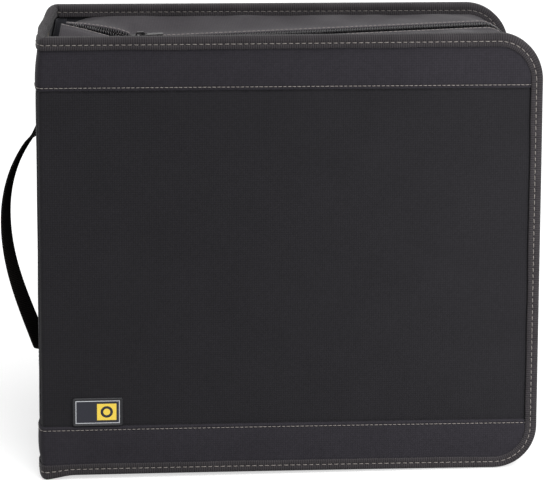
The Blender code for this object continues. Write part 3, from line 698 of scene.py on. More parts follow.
@dataclass
class Patch:
    """Points in case coordinates, faces as index rows, and UV in millimetres."""

    points: Array
    quads: Array
    caps: list[Array] = field(default_factory=list)
    uv: Array | None = None

    def piece(
        self, name: str, finish: Finish, body: str | None, replaces: Sequence[str] = (), sharp: float | None = None,
        soft: bool = True,
    ) -> bpy.types.Object:
        """Turn the patch into a piece of the scene.

        Args:
            name: name of the new object.
            finish: what it is made of.
            body: the body that it rides on, or None for a piece that rides on
                no body.
            replaces: nodes that it stands for.
            sharp: angle in degrees past which edges stay sharp.
            soft: whether it settles with the cloth.

        Returns:
            The new object, with its faces pointing outwards.
        """
        mesh = bpy.data.meshes.new(name)
        rows = [*self.quads.tolist(), *[cap.tolist() for cap in self.caps]]
        mesh.from_pydata(to_world(settled(self.points) if soft else self.points), [], rows)
        if self.uv is not None:
            corner = np.empty(len(mesh.loops), dtype=np.int32)
            mesh.loops.foreach_get("vertex_index", corner)
            layer = mesh.uv_layers.new(name="cloth")
            layer.data.foreach_set("uv", (self.uv[corner] * MM).astype(np.float32).ravel())
        work = bmesh.new()
        work.from_mesh(mesh)
        bmesh.ops.recalc_face_normals(work, faces=work.faces)
        work.to_mesh(mesh)
        work.free()
        mesh.shade_smooth()
        if sharp is not None:
            mesh.set_sharp_from_angle(angle=math.radians(sharp))
        mesh.materials.append(wardrobe.get(finish))
        piece = linked(name, mesh)
        if body:
            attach(piece, body)
        if replaces:
            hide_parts(*replaces)
        log.info("%s: %d faces, rides on %s", name, len(mesh.polygons), body or "two bodies")
        return piece


def grid_quads(rows: int, columns: int, ring: bool = False) -> Array:
    """Faces of a grid of points, row after row.

    Args:
        rows: number of rows.
        columns: number of points in a row.
        ring: whether the last point of a row joins its first.

    Returns:
        Four point numbers for each face.
    """
    index = np.arange(rows * columns).reshape(rows, columns)
    if ring:
        index = np.concatenate([index, index[:, :1]], axis=1)
    return np.stack([index[:-1, :-1], index[:-1, 1:], index[1:, 1:], index[1:, :-1]], -1).reshape(-1, 4)


def slab(outer: Array, inner: Array, uv: Array) -> Patch:
    """A closed sheet between two grids of points that match.

    Args:
        outer: grid of rows x columns points on one face.
        inner: the grid of the other face.
        uv: pattern coordinates of both, rows x columns x 2.

    Returns:
        The two faces, joined all round by a wall.
    """
    rows, columns = outer.shape[:2]
    count = rows * columns
    faces = grid_quads(rows, columns)
    index = np.arange(count).reshape(rows, columns)
    rim = np.concatenate([index[0, :-1], index[:-1, -1], index[-1, :0:-1], index[:0:-1, 0]])
    after = np.roll(rim, -1)
    wall = np.stack([rim, after, after + count, rim + count], 1)
    points = np.concatenate([outer.reshape(-1, 3), inner.reshape(-1, 3)])
    flat = uv.reshape(-1, 2)
    return Patch(points, np.concatenate([faces, faces[:, ::-1] + count, wall]), [], np.concatenate([flat, flat]))


def tube(rings: Array, uv: Array | None = None) -> Patch:
    """A closed solid through rings of points, with a flat cap at each end.

    Args:
        rings: stations x points x 3.
        uv: pattern coordinates, stations x points x 2.

    Returns:
        The solid.
    """
    rows, columns = rings.shape[:2]
    last = (rows - 1) * columns
    caps = [np.arange(columns)[::-1], np.arange(last, last + columns)]
    flat = None if uv is None else uv.reshape(-1, 2)
    return Patch(rings.reshape(-1, 3), grid_quads(rows, columns, ring=True), caps, flat)


def many_tubes(rings: Array, uv: Array) -> Patch:
    """Many small solids, each through its own rings of points.

    Args:
        rings: solids x stations x points x 3.
        uv: pattern coordinates, solids x stations x points x 2.

    Returns:
        All of them as one patch.
    """
    count, rows, columns = rings.shape[:3]
    size = rows * columns
    starts = (np.arange(count) * size)[:, None, None]
    quads = (grid_quads(rows, columns, ring=True)[None] + starts).reshape(-1, 4)
    ends = np.stack([np.arange(columns)[::-1], np.arange(size - columns, size)])
    caps = list((ends[None] + starts).reshape(-1, columns))
    return Patch(rings.reshape(-1, 3), quads, caps, uv.reshape(-1, 2))


def joined(patches: Sequence[Patch]) -> Patch:
    """Several patches as one, in the same order."""
    shifts = np.cumsum([0, *[len(p.points) for p in patches[:-1]]])
    uv = [p.uv if p.uv is not None else np.zeros((len(p.points), 2)) for p in patches]
    caps = [cap + shift for p, shift in zip(patches, shifts) for cap in p.caps]
    quads = np.concatenate([p.quads + shift for p, shift in zip(patches, shifts)])
    return Patch(np.concatenate([p.points for p in patches]), quads, caps, np.concatenate(uv))


def run_length(first: Array, second: Array) -> Array:
    """Length along a flat line up to each of its points, from its two coordinates."""
    return np.concatenate([[0.0], np.cumsum(np.hypot(np.diff(first), np.diff(second)))])


def read_at(marks: Array, total: Array, values: Array) -> Array:
    """Rows of values that belong to lengths "total", read off at the lengths "marks"."""
    return np.stack([np.interp(marks, total, column) for column in values.T], -1)


def needle_holes(along: Array, pitch: float) -> Array:
    """1 at each needle hole along a seam, 0 halfway between two."""
    return 0.5 + 0.5 * np.cos(2 * np.pi * along / pitch)


def unit(vectors: Array) -> Array:
    """Vectors along the last axis, scaled to length 1."""
    return vectors / np.maximum(np.linalg.norm(vectors, axis=-1, keepdims=True), 1e-9)


def ripple(x: Array, seed: int, lengths: Sequence[float]) -> Array:
    """A smooth uneven wave: a mean of sines of given lengths at seeded phases."""
    phases = np.random.default_rng(seed).uniform(0, 2 * np.pi, len(lengths))
    waves = [np.sin(2 * np.pi * x / length + phase) for length, phase in zip(lengths, phases)]
    return np.mean(waves, axis=0)


def graded(low: float, high: float, marks: Sequence[float], fine: float, coarse: float, reach: float) -> Array:
    """Values from low to high that crowd together near given marks.

    The spacing is coarse - (coarse - fine) exp(-(distance / reach)^2), and the
    values are read off where its running count passes each whole number.

    Args:
        low: first value.
        high: last value.
        marks: places that need close spacing.
        fine: spacing at a mark.
        coarse: spacing far from all marks.
        reach: how far a mark's close spacing spreads.

    Returns:
        The values in rising order.
    """
    line = np.linspace(low, high, 4000)
    near = np.exp(-((line[:, None] - np.array(marks)[None]) / reach) ** 2).max(axis=1)
    count = np.cumsum(1 / (coarse - (coarse - fine) * near))
    count = (count - count[0]) * (line[1] - line[0])
    return np.interp(np.linspace(0, count[-1], math.ceil(count[-1]) + 1), count, line)


def along_path(path: Array, ups: Array, pitch: float, seed: int, shift: float = 0.5) -> tuple[Array, Array, Array]:
    """Evenly spaced places along a line.

    Args:
        path: points of the line.
        ups: outward direction at each point.
        pitch: spacing of the places.
        seed: seed of the small unevenness.
        shift: first place, as a share of the pitch.

    Returns:
        The places, the line's direction there, and the outward direction.
    """
    steps = np.linalg.norm(np.diff(path, axis=0), axis=1)
    total = np.concatenate([[0.0], np.cumsum(steps)])
    marks = np.arange(pitch * shift, total[-1], pitch)
    marks = np.clip(marks + np.random.default_rng(seed).normal(0, pitch * 0.015, len(marks)), 0, total[-1])
    ahead = read_at(np.minimum(marks + 0.5, total[-1]), total, path)
    behind = read_at(np.maximum(marks - 0.5, 0), total, path)
    return read_at(marks, total, path), unit(ahead - behind), unit(read_at(marks, total, ups))


@dataclass(frozen=True)
class Stitch:
    """One visible stitch of a row: a thread that dips into the cloth at both ends."""

    length: float = 3.1
    width: float = 0.6
    height: float = 0.5
    pitch: float = STITCH_PITCH

    def row(self, path: Array, ups: Array, seed: int, shift: float = 0.5) -> Patch:
        """A row of stitches along a line.

        Each stitch has five rings of six points. The middle rings stand up and
        the end rings sink below the line by the thread's height.

        Args:
            path: the line that the stitches follow.
            ups: outward direction at each of its points.
            seed: seed of the small unevenness.
            shift: first stitch's middle, as a share of the pitch.

        Returns:
            The row as one patch.
        """
        middle, along, up = along_path(path, ups, self.pitch, seed, shift)
        random = np.random.default_rng(seed + 1)
        across = unit(np.cross(along, up))
        along = unit(along + across * random.normal(0, 0.035, (len(middle), 1)))
        spread = random.normal(1.0, 0.06, len(middle))[:, None]
        stations = np.array([-0.5, -0.36, 0.0, 0.36, 0.5])
        thick = np.array([0.35, 0.95, 1.0, 0.95, 0.35])
        lift = np.array([-0.7, 0.15, 0.4, 0.15, -0.7]) * self.height
        turn = np.arange(6) * np.pi / 3
        centre = middle[:, None] + along[:, None] * (stations * self.length * spread)[..., None]
        centre = centre + up[:, None] * lift[None, :, None]
        ring = across[:, None, None] * (np.cos(turn) * self.width / 2)[None, None, :, None]
        ring = ring + up[:, None, None] * (np.sin(turn) * self.height / 2)[None, None, :, None]
        rings = centre[:, :, None] + ring * thick[None, :, None, None]
        u = np.broadcast_to((stations * self.length)[None, :, None], rings.shape[:3])
        v = np.broadcast_to(turn * self.width / 2, rings.shape[:3])
        return many_tubes(rings, np.stack([u, v], -1))


SEAM_STITCH = Stitch(length=2.6, width=0.55, pitch=SEAM_PITCH)
HEM_STITCH = Stitch(length=2.4, width=0.5, height=0.4, pitch=3.2)
COIL_STITCH = Stitch(length=1.5, width=0.5, height=0.4, pitch=2.2)


def rim(distance: Array, start: float, inset: float) -> tuple[Array, Array, Array, Array]:
    """The covers' rounded outline: along the top, down the side, back below.

    The line runs straight to the first corner, turns a quarter circle, runs
    down, turns again and runs back. Its angle goes from 0 on the top through
    a quarter turn on the side to a half turn below.

    Args:
        distance: distances along the line.
        start: x where the line starts on the top.
        inset: how far inside the rim the distances are measured.

    Returns:
        x and z of the rim, and the inward direction in x and z.
    """
    run, side = EDGE - start, HEIGHT - 2 * CORNER
    arc = (CORNER - inset) * np.pi / 2
    marks = np.cumsum([run, arc, side, arc])
    first = np.clip((distance - marks[0]) / arc, 0, 1)
    second = np.clip((distance - marks[2]) / arc, 0, 1)
    angle = (first + second) * np.pi / 2
    nx, nz = -np.sin(angle), -np.cos(angle)
    centre_x = EDGE - np.maximum(marks[0] - distance, 0) - np.maximum(distance - marks[3], 0)
    centre_z = HEIGHT - CORNER - np.clip(distance - marks[1], 0, side)
    return centre_x - CORNER * nx, centre_z - CORNER * nz, nx, nz


def rim_length(start: float, inset: float) -> float:
    """Whole length of the rim's line at an inset."""
    return 2 * (EDGE - start) + HEIGHT - 2 * CORNER + (CORNER - inset) * np.pi


def rim_place(side: Side, line: tuple[Array, Array, Array, Array], depth: Array, inset: Array) -> Array:
    """Points at a depth and an inset from stations of the rim.

    Args:
        side: which cover.
        line: x, z and inward direction of the stations.
        depth: depth of each point, stations x points.
        inset: inset of each point, stations x points.

    Returns:
        Points, stations x points x 3.
    """
    x, z, nx, nz = [value[:, None] for value in line]
    y = side.value * (HALF - depth)
    return np.stack([x + nx * inset, y + 0 * inset, z + nz * inset], -1)


def right_edge(z: Array, inset: float) -> Array:
    """x of a cover's rounded opening side at heights z."""
    centre = np.clip(z, CORNER, HEIGHT - CORNER)
    radius = CORNER - inset
    rise = np.minimum(np.abs(z - centre), radius)
    return EDGE + np.sqrt(radius**2 - rise**2)


def spine_curve(share: Array, depth: Array) -> tuple[Array, Array, Array, Array]:
    """The spine's plan: nearly flat, rolled over at each fold.

    x = fold - (fold + bow) sqrt(1 - |share|^power) and y = half * share, moved
    inwards by a depth along the curve's normal. The front fold is squarer.

    Args:
        share: from -1 at the front fold to 1 at the rear fold.
        depth: how far inside the outer line.

    Returns:
        x and y of the points, and the inward direction in x and y.
    """
    share = np.clip(share, -1, 1)
    fold = np.where(share < 0, FRONT_FOLD, FOLD)
    power = np.where(share < 0, FRONT_POWER, SPINE_POWER)
    amplitude = fold + SPINE_BOW + FRONT_BOW * smooth(-2.4 * share - 0.7)
    root = np.sqrt(np.maximum(0.0, 1 - np.abs(share) ** power))
    slope = amplitude * power / 2 * np.abs(share) ** (power - 1) / HALF
    scale = np.hypot(root, slope)
    nx, ny = root / scale, -np.sign(share) * slope / scale
    return fold - amplitude * root + nx * depth, HALF * share + ny * depth, nx, ny


def spine_shares(count: int) -> Array:
    """Shares from -FOLD_REACH to FOLD_REACH, closer together towards the folds."""
    steps = np.linspace(-1, 1, count)
    return FOLD_REACH * np.copysign(1 - (1 - np.abs(steps)) ** 1.5, steps)


def fold_line(side: Side) -> tuple[Array, Array, Array, Array, Array]:
    """The part of the spine's plan that a cover's cloths run round.

    Args:
        side: which cover.

    Returns:
        x and y of the outer line, the inward direction in x and y, and the
        length along the cloth, which is negative up to the fold.
    """
    share = 1 - (1 - FOLD_REACH) * np.linspace(1, 0, 15)[:-1] ** 1.9
    x, y, nx, ny = spine_curve(side.value * share, np.zeros_like(share))
    steps = np.hypot(np.diff(x, append=side.fold), np.diff(y, append=side.value * HALF))
    return x, y, nx, ny, -np.cumsum(steps[::-1])[::-1]


def lapped(edge: Array, lap: float, holes: Array) -> Array:
    """Depth of a lapped band: a folded edge, a stitched groove, then padding.

    The folded edge is a quarter round, the stitches pull a groove into the
    cloth that is deepest at each needle hole, and the padding swells behind.

    Args:
        edge: distance from the folded edge.
        lap: distance of the stitches from it.
        holes: 1 at a needle hole, 0 halfway between two.

    Returns:
        The depth in millimetres.
    """
    face, roll_size, roll_radius = 1.05, 0.95, 1.1
    groove_depth, groove_width, padding, padding_width = 0.34, 0.75, 0.3, 20.0
    roll = 1 - np.sqrt(1 - (1 - np.minimum(edge, roll_radius) / roll_radius) ** 2)
    groove = groove_depth * np.exp(-(((edge - lap) / groove_width) ** 2)) * (0.45 + 0.55 * holes)
    swell = padding * np.sin(np.pi * np.clip((edge - lap) / padding_width, 0, 1))
    return face + roll_size * roll + groove - swell


def folded_tape(thick: float, start: float, width: float, radius: float) -> tuple[Array, Array, Array]:
    """Section of a tape folded over an edge, as a U that opens inwards.

    The outside has a groove where the stitches pull it in, and a quarter
    circle at each side of the fold. The inside follows 0.8 mm behind it.

    Args:
        thick: outer thickness of the U.
        start: depth of its first face.
        width: how far it reaches inwards.
        radius: radius of its outer corners.

    Returns:
        Depths and insets of the section, and 1 where the stitches lie.
    """
    turn = np.linspace(0, np.pi / 2, 7)[1:-1]
    leg_depth = np.array([0.5, 0.14, 0.0, -0.04, 0.05, 0.34, 0.05, -0.04, 0.0])
    leg_inset = np.array([width, width - 0.25, width - 0.8, 6.3, 5.5, STITCH_INSET, 4.1, 3.2, radius])
    groove = np.array([0, 0, 0, 0, 0, 1, 0, 0, 0])
    depth = np.concatenate([leg_depth, radius * (1 - np.cos(turn)), [radius]])
    inset = np.concatenate([leg_inset, radius * (1 - np.sin(turn)), [0.0]])
    mark = np.concatenate([groove, 0 * turn, [0.0]])
    inner = max(radius - 0.8, 0.4)
    inside_d = np.array([0.8, 0.8, 0.8 + inner * 0.3, 0.8 + inner])
    inside_n = np.array([width, 0.8 + inner, 0.8 + inner * 0.3, 0.8])
    depth = np.concatenate([depth, (thick - depth)[::-1], (thick - inside_d), inside_d[::-1]])
    inset = np.concatenate([inset, inset[::-1], inside_n, inside_n[::-1]])
    mark = np.concatenate([mark, mark[::-1], np.zeros(8)])
    return depth + start, inset, mark


# Sub-assemblies


@dataclass
class Cover:
    """One cover: padded centre panel, two lapped bands and the binding round them."""

    side: Side
    seed: int
    crown: float = 0.7
    column: float = STITCH_PITCH / 3
    panel_sink: float = 0.45

    def bend(self, piece: bpy.types.Object) -> None:
        """Bake the place of a piece that runs round the fold into its mesh; it rides on no body."""
        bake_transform(piece)

    def grid(self, rows: Array) -> tuple[Array, Array, Array]:
        """Grid over the cloth from behind the fold to the rounded side.

        Args:
            rows: heights of the grid's rows.

        Returns:
            Plan lines (x, y and inward direction) as 4 x rows x columns, the
            length along the cloth from the fold, and the height.
        """
        *plan, behind = fold_line(self.side)
        fold = self.side.fold
        columns = math.ceil((WIDTH - fold) / self.column)
        flat = (right_edge(rows, RIM_INSET)[:, None] - fold) * np.linspace(0, 1, columns + 1)[None]
        size = (len(rows), len(behind))
        fixed = (0.0, self.side.value * HALF, 0.0, -float(self.side.value))
        lines = [
            np.concatenate([np.broadcast_to(line, size), np.full_like(flat, value)], 1)
            for line, value in zip(plan, fixed)
        ]
        along = np.concatenate([np.broadcast_to(behind, size), flat], 1)
        lines[0] = np.where(along >= 0, fold + along, lines[0])
        return np.stack(lines), along, np.broadcast_to(rows[:, None], along.shape)

    def wake(self, along: Array) -> Array:
        """0 where the cloth joins the spine's, 1 from the fold on."""
        start = float(fold_line(self.side)[4][0])
        return smooth(1 - along / start)

    def cloth(
        self, node: str, rows: Array, depth: Callable[[Array, Array], Array], back: float, finish: Finish
    ) -> bpy.types.Object:
        """A cloth layer from its outer face.

        Args:
            node: the node that it replaces.
            rows: heights of its rows.
            depth: depth of its outer face from the length along and the height.
            back: depth of its back.
            finish: its cloth.

        Returns:
            The piece.
        """
        (x, y, nx, ny), along, z = self.grid(rows)
        outer = depth(along, z)
        faces = [np.stack([x + nx * d, y + ny * d, z], -1) for d in (outer, np.full_like(outer, back))]
        patch = slab(faces[0], faces[1], np.stack([along, z], -1))
        piece = patch.piece(f"{node}_cloth", finish, None, [node], sharp=50)
        self.bend(piece)
        return piece

    def centre_panel(self) -> None:
        """The padded panel between the two bands.

        Its depth is the seam's depth less crown (1 - p^8) (1 - q^6), with p and
        q from -1 to 1 over the panel, plus short puckers that die away from the
        seams and a crease where it dips under each band.
        """
        low, high = BAND_FOOT, HEIGHT - BAND_TOP
        rows = graded(low - 1.5, high + 1.5, [low, high], 0.7, 3.2, 9.0)

        def depth(x: Array, z: Array) -> Array:
            """Depth of the panel's outer face."""
            p = 2 * np.maximum(x, 0) / (WIDTH - RIM_INSET - self.side.fold) - 1
            q = np.clip(2 * (z - low) / (high - low) - 1, -1, 1)
            swell = self.crown * (1 - np.abs(p) ** 8) * (1 - q**6)
            near = np.minimum(np.abs(z - low), np.abs(high - z))
            above, below = ripple(x, self.seed, [7.5, 10.3, 13.1]), ripple(x, self.seed + 1, [8.3, 11.9, 15.2])
            short = np.where(z > HEIGHT / 2, above, below)
            broad = ripple(x + 0.35 * z, self.seed + 2, [96.0, 61.0])
            broad = broad * ripple(z - 0.2 * x, self.seed + 3, [120.0, 83.0])
            base = PANEL_FACE + self.panel_sink + 0.32 * np.exp(-near / 1.3)
            return base + self.wake(x) * (0.13 * short * np.exp(-near / 7) - 0.22 * broad - swell)

        piece = self.cloth(f"{self.side.label}_centre_panel", rows, depth, PANEL_BACK, Wardrobe.PANEL)

    def band(self, upper: bool) -> Patch:
        """One lapped band, and the path of its topstitching.

        Args:
            upper: the band along the top, or the one along the bottom.

        Returns:
            The stitches.
        """
        sign = 1 if upper else -1
        edge = HEIGHT - BAND_TOP + LAP_GAP if upper else BAND_FOOT - LAP_GAP
        far = HEIGHT - RIM_INSET if upper else RIM_INSET
        rows = graded(min(edge, far), max(edge, far), [edge, edge + sign * LAP], 0.42, 2.2, 2.2)
        seed = self.seed + (10 if upper else 20)

        def depth(x: Array, z: Array) -> Array:
            """Depth of the band's outer face."""
            e = np.abs(z - edge)
            pucker = 0.14 * ripple(x, seed, [6.1, 9.7, 14.9]) * np.exp(-np.maximum(e - LAP, 0) / 5)
            wander = 0.12 * ripple(x, seed + 1, [55.0, 87.0])
            return lapped(e, LAP, needle_holes(x, SEAM_PITCH)) + self.wake(x) * (pucker + wander)

        node = f"{self.side.label}_{'top' if upper else 'bottom'}_band"
        self.cloth(node, rows, depth, BAND_BACK, Wardrobe.BAND)
        height = np.array([edge + sign * LAP])
        (x, y, nx, ny), along, z = self.grid(height)
        keep = along[0] < right_edge(height, RIM_INSET)[0] - self.side.fold - 2.5
        path, ups = np.stack([x + nx, y + ny, z], -1)[0, keep], np.stack([-nx, -ny, 0 * nx], -1)[0, keep]
        return SEAM_STITCH.row(path, ups, seed, shift=0.2)

    def rim_frames(self) -> tuple[Array, Array, Array, Array, Array]:
        """Stations of the binding, from the spine over the top and back below.

        Returns:
            The rim's points, the directions of depth and of inset, the length
            from the fold, and 0 at the spine's end to 1 on the flat cover.
        """
        length = rim_length(self.side.fold, STITCH_INSET)
        distance = np.linspace(0, length, math.ceil(length / self.column))
        x, z, nx, nz = rim(distance, self.side.fold, STITCH_INSET)
        sign = float(self.side.value)
        fx, fy, fnx, fny, behind = fold_line(self.side)
        flat = np.stack([x, np.full_like(x, sign * HALF), z], -1)
        ends, depths, insets = [], [], []
        for level, up in ((HEIGHT, -1.0), (0.0, 1.0)):
            ends.append(np.stack([fx, fy, np.full_like(fx, level)], -1))
            depths.append(np.stack([fnx, fny, 0 * fnx], -1))
            insets.append(np.tile([0.0, 0.0, up], (len(fx), 1)))
        base = np.concatenate([ends[0], flat, ends[1][::-1]])
        inward = np.concatenate([depths[0], np.tile([0.0, -sign, 0.0], (len(x), 1)), depths[1][::-1]])
        inset = np.concatenate([insets[0], np.stack([nx, 0 * nx, nz], -1), insets[1][::-1]])
        along = np.concatenate([behind, distance, length - behind[::-1]])
        share = np.concatenate([self.wake(behind), np.ones_like(x), self.wake(behind)[::-1]])
        return base, inward, inset, along, share

    def binding(self) -> list[Patch]:
        """The grosgrain tape sewn round the cover.

        Its section changes round the fold into that of the spine's roll.

        Returns:
            Its stitches, on the outer face and on the inner one.
        """
        base, inward, inset_way, along, share = self.rim_frames()
        flat_depth, flat_inset, mark = folded_tape(COVER_THICK, 0.0, BINDING_WIDTH, 2.3)
        roll_depth, roll_inset, _ = folded_tape(ROLL_THICK, ROLL_START, BINDING_WIDTH, ROLL_RADIUS)
        mix = share[:, None]
        depth = mix * flat_depth + (1 - mix) * roll_depth
        inset = mix * flat_inset + (1 - mix) * roll_inset
        holes = needle_holes(along, STITCH_PITCH)[:, None]
        depth = depth + np.where(flat_depth < COVER_THICK / 2, 1, -1) * mark * 0.2 * holes * mix
        inset = inset + mix * 0.25 * ripple(along, self.seed + 30, [47.0, 71.0, 113.0])[:, None] * (flat_inset > 6)
        around = run_length(flat_depth, flat_inset)
        uv = np.stack(np.broadcast_arrays(along[:, None], around[None]), -1)
        rings = base[:, None] + inward[:, None] * depth[..., None] + inset_way[:, None] * inset[..., None]
        node = f"{self.side.label}_binding"
        self.bend(tube(rings, uv).piece(f"{node}_tape", Wardrobe.BINDING, None, [node]))
        rows = []
        outer = 0.1 + (1 - share) * ROLL_START
        inner = (COVER_THICK - 0.1) + (1 - share) * (ROLL_THICK + ROLL_START - COVER_THICK)
        for face, sign in ((outer, -1), (inner, 1)):
            path = base + inward * face[:, None] + inset_way * STITCH_INSET
            rows.append(Stitch().row(path, inward * sign, self.seed + 40 + sign))
        return rows

    def fold_lining(self) -> None:
        """The strip of lining that crosses the fold on the inside."""
        turn = np.linspace(0, 1, 16)
        sign = self.side.value
        x = 5.6 + 0.5 * turn + 7.5 * turn**3
        y = sign * (40.5 + 5.2 * np.minimum(1.0, turn * 1.5) ** 0.8)
        rows = np.linspace(BINDING_WIDTH + 0.6, HEIGHT - BINDING_WIDTH - 0.6, 90)
        drape = 0.15 * ripple(rows, self.seed + 50, [31.0, 57.0])[:, None] * np.sin(np.pi * turn)[None]
        size = (len(rows), len(turn))
        z = np.broadcast_to(rows[:, None], size)
        faces = [np.stack([x[None] + drape + t, np.broadcast_to(y - sign * t, size), z], -1) for t in (0.0, 0.4)]
        uv = np.stack([np.broadcast_to(turn * 12, size), z], -1)
        piece = slab(faces[1], faces[0], uv).piece(f"{self.side.label}_fold_lining", Wardrobe.LINING, None)
        self.bend(piece)

    def build(self) -> None:
        """Build the cover's cloths, binding and stitches, and dress its inner layers."""
        self.centre_panel()
        outer, inner = self.binding()
        stitches = [self.band(True), self.band(False), outer]
        self.bend(joined(stitches).piece(f"{self.side.label}_lockstitches", Wardrobe.THREAD, None))
        self.bend(inner.piece(f"{self.side.label}_inner_lockstitches", Wardrobe.SHADED_SIDE_THREAD, None))
        self.fold_lining()
        for layer, finish in (("lining", Wardrobe.LINING), ("board", Wardrobe.BOARD)):
            settle_node(f"{self.side.label}_{layer}", self.side.body, finish)


def dress_node(node: str, finish: Finish) -> None:
    """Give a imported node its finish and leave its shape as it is.

    Args:
        node: name of the node.
        finish: what it is made of.
    """
    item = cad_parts[node]
    item.data.materials.clear()
    item.data.materials.append(wardrobe.get(finish))
    log.info("%s: dressed as %s", node, finish.name)


def settle_node(node: str, body: str, finish: Finish) -> None:
    """Replace a packed inner layer by a copy that has settled with the cloth.

    Args:
        node: name of the node.
        body: the body that it rides on.
        finish: what it is made of.
    """
    work = bmesh.new()
    work.from_mesh(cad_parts[node].data)
    cuts = [((0.0, 0.0, z), (0, 0, 1)) for z in SETTLE_HEIGHTS]
    cuts += [((x, 0.0, 0.0), (1, 0, 0)) for x in SETTLE_PLACES]
    for place, way in cuts:
        geometry = [*work.verts, *work.edges, *work.faces]
        bmesh.ops.bisect_plane(work, geom=geometry, plane_co=to_world(place), plane_no=way)
    bmesh.ops.triangulate(work, faces=[face for face in work.faces if len(face.verts) > 4])
    mesh = bpy.data.meshes.new(f"{node}_settled")
    work.to_mesh(mesh)
    work.free()
    flat = np.empty(len(mesh.vertices) * 3)
    mesh.vertices.foreach_get("co", flat)
    case = flat.reshape(-1, 3) / MM + np.array([MIDDLE_X, 0.0, 0.0])
    mesh.vertices.foreach_set("co", to_world(settled(case)).ravel())
    mesh.materials.append(wardrobe.get(finish))
    piece = linked(f"{node}_settled", mesh)
    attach(piece, body)
    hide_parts(node)
    log.info("%s: settled copy, dressed as %s", node, finish.name)


@dataclass
class Spine:
    """The bowed spine: three cloths, the rolled bindings at its ends and the seams."""

    seed: int = 500
    columns: int = 110
    panel_sink: float = 0.1

    def cloth(self, node: str, low: float, high: float, finish: Finish, folded: int) -> bpy.types.Object:
        """One cloth of the spine.

        Args:
            node: the node that it replaces.
            low: its lower edge.
            high: its upper edge.
            finish: its cloth.
            folded: 1 where its upper edge is the folded one, -1 where its lower
                edge is, and 0 where it lies under both bands.

        Returns:
            The piece.
        """
        edges = [low, high] if folded == 0 else [high if folded > 0 else low]
        rows = graded(low, high, edges, 0.45, 3.0, 4.0)
        share = spine_shares(self.columns)
        e = np.min([np.abs(rows - edge) for edge in edges], axis=0)[:, None]
        length = run_length(*spine_curve(share, np.zeros_like(share))[:2])
        quiet = np.clip((1 - np.abs(share) / FOLD_REACH) * 5, 0, 1)[None]
        if folded:
            depth = lapped(e, LAP, needle_holes(length, SEAM_PITCH)[None])
        else:
            pucker = 0.14 * ripple(length, self.seed, [9.0, 13.7])[None] * np.exp(-e / 7)
            depth = PANEL_FACE + self.panel_sink + 0.32 * np.exp(-np.maximum(e - 1.5, 0) / 1.3) + pucker * quiet
        depth = depth + 0.15 * ripple(rows, self.seed + 1, [67.0, 113.0])[:, None] * quiet
        x, y, _, _ = spine_curve(share[None], depth)
        bx, by, _, _ = spine_curve(share[None], np.full_like(depth, BAND_BACK))
        z = np.broadcast_to(rows[:, None], x.shape)
        uv = np.stack(np.broadcast_arrays(length[None], z), -1)
        patch = slab(np.stack([x, y, z], -1), np.stack([bx, by, z], -1), uv)
        return patch.piece(f"{node}_cloth", finish, "spine", [node], sharp=50)

    def seam(self, height: float, seed: int) -> Patch:
        """A row of topstitches round the spine at a height."""
        share = spine_shares(self.columns)
        x, y, nx, ny = spine_curve(share, np.full_like(share, 1.05))
        path = np.stack([x, y, np.full_like(x, height)], -1)
        return SEAM_STITCH.row(path, np.stack([-nx, -ny, 0 * nx], -1), seed)

    def roll(self, node: str, base: float, inward: int) -> Patch:
        """The tape folded over one end of the spine.

        Args:
            node: the node that it replaces.
            base: height of the spine's end.
            inward: 1 where the spine lies above it, -1 where below.

        Returns:
            Its stitches.
        """
        share = spine_shares(self.columns)
        depth, inset, _ = folded_tape(ROLL_THICK, ROLL_START, BINDING_WIDTH, ROLL_RADIUS)
        x, y, nx, ny = spine_curve(share[:, None], np.broadcast_to(depth, (len(share), len(depth))))
        z = base + inward * np.broadcast_to(inset, x.shape)
        outer = spine_curve(share, np.zeros_like(share))
        uv = np.stack(np.broadcast_arrays(run_length(*outer[:2])[:, None], run_length(depth, inset)[None]), -1)
        tube(np.stack([x, y, z], -1), uv).piece(f"{node}_tape", Wardrobe.BINDING, "spine", [node])
        sx, sy, _, _ = spine_curve(share, np.full_like(share, ROLL_START + 0.1))
        path = np.stack([sx, sy, np.full_like(sx, base + inward * STITCH_INSET)], -1)
        return Stitch().row(path, np.stack([-outer[2], -outer[3], 0 * sx], -1), self.seed + 7 + inward)

    def build(self) -> None:
        """Build the spine's cloths, rolls and stitches, and dress its inner layers."""
        low, high = BAND_FOOT, HEIGHT - BAND_TOP
        panel = self.cloth("spine_centre_panel", low - 1.5, high + 1.5, Wardrobe.PANEL, 0)
        self.cloth("spine_top_band", high + LAP_GAP, HEIGHT - RIM_INSET, Wardrobe.BAND, -1)
        self.cloth("spine_bottom_band", RIM_INSET, low - LAP_GAP, Wardrobe.BAND, 1)
        rows = [self.seam(high + LAP_GAP + LAP, 510), self.seam(low - LAP_GAP - LAP, 520)]
        rows += [self.roll("spine_top_binding", HEIGHT, -1), self.roll("spine_bottom_binding", 0.0, 1)]
        joined(rows).piece("spine_lockstitches", Wardrobe.THREAD, "spine")
        settle_node("spine_lining", "spine", Wardrobe.LINING)
        settle_node("spine_board", "spine", Wardrobe.BOARD)


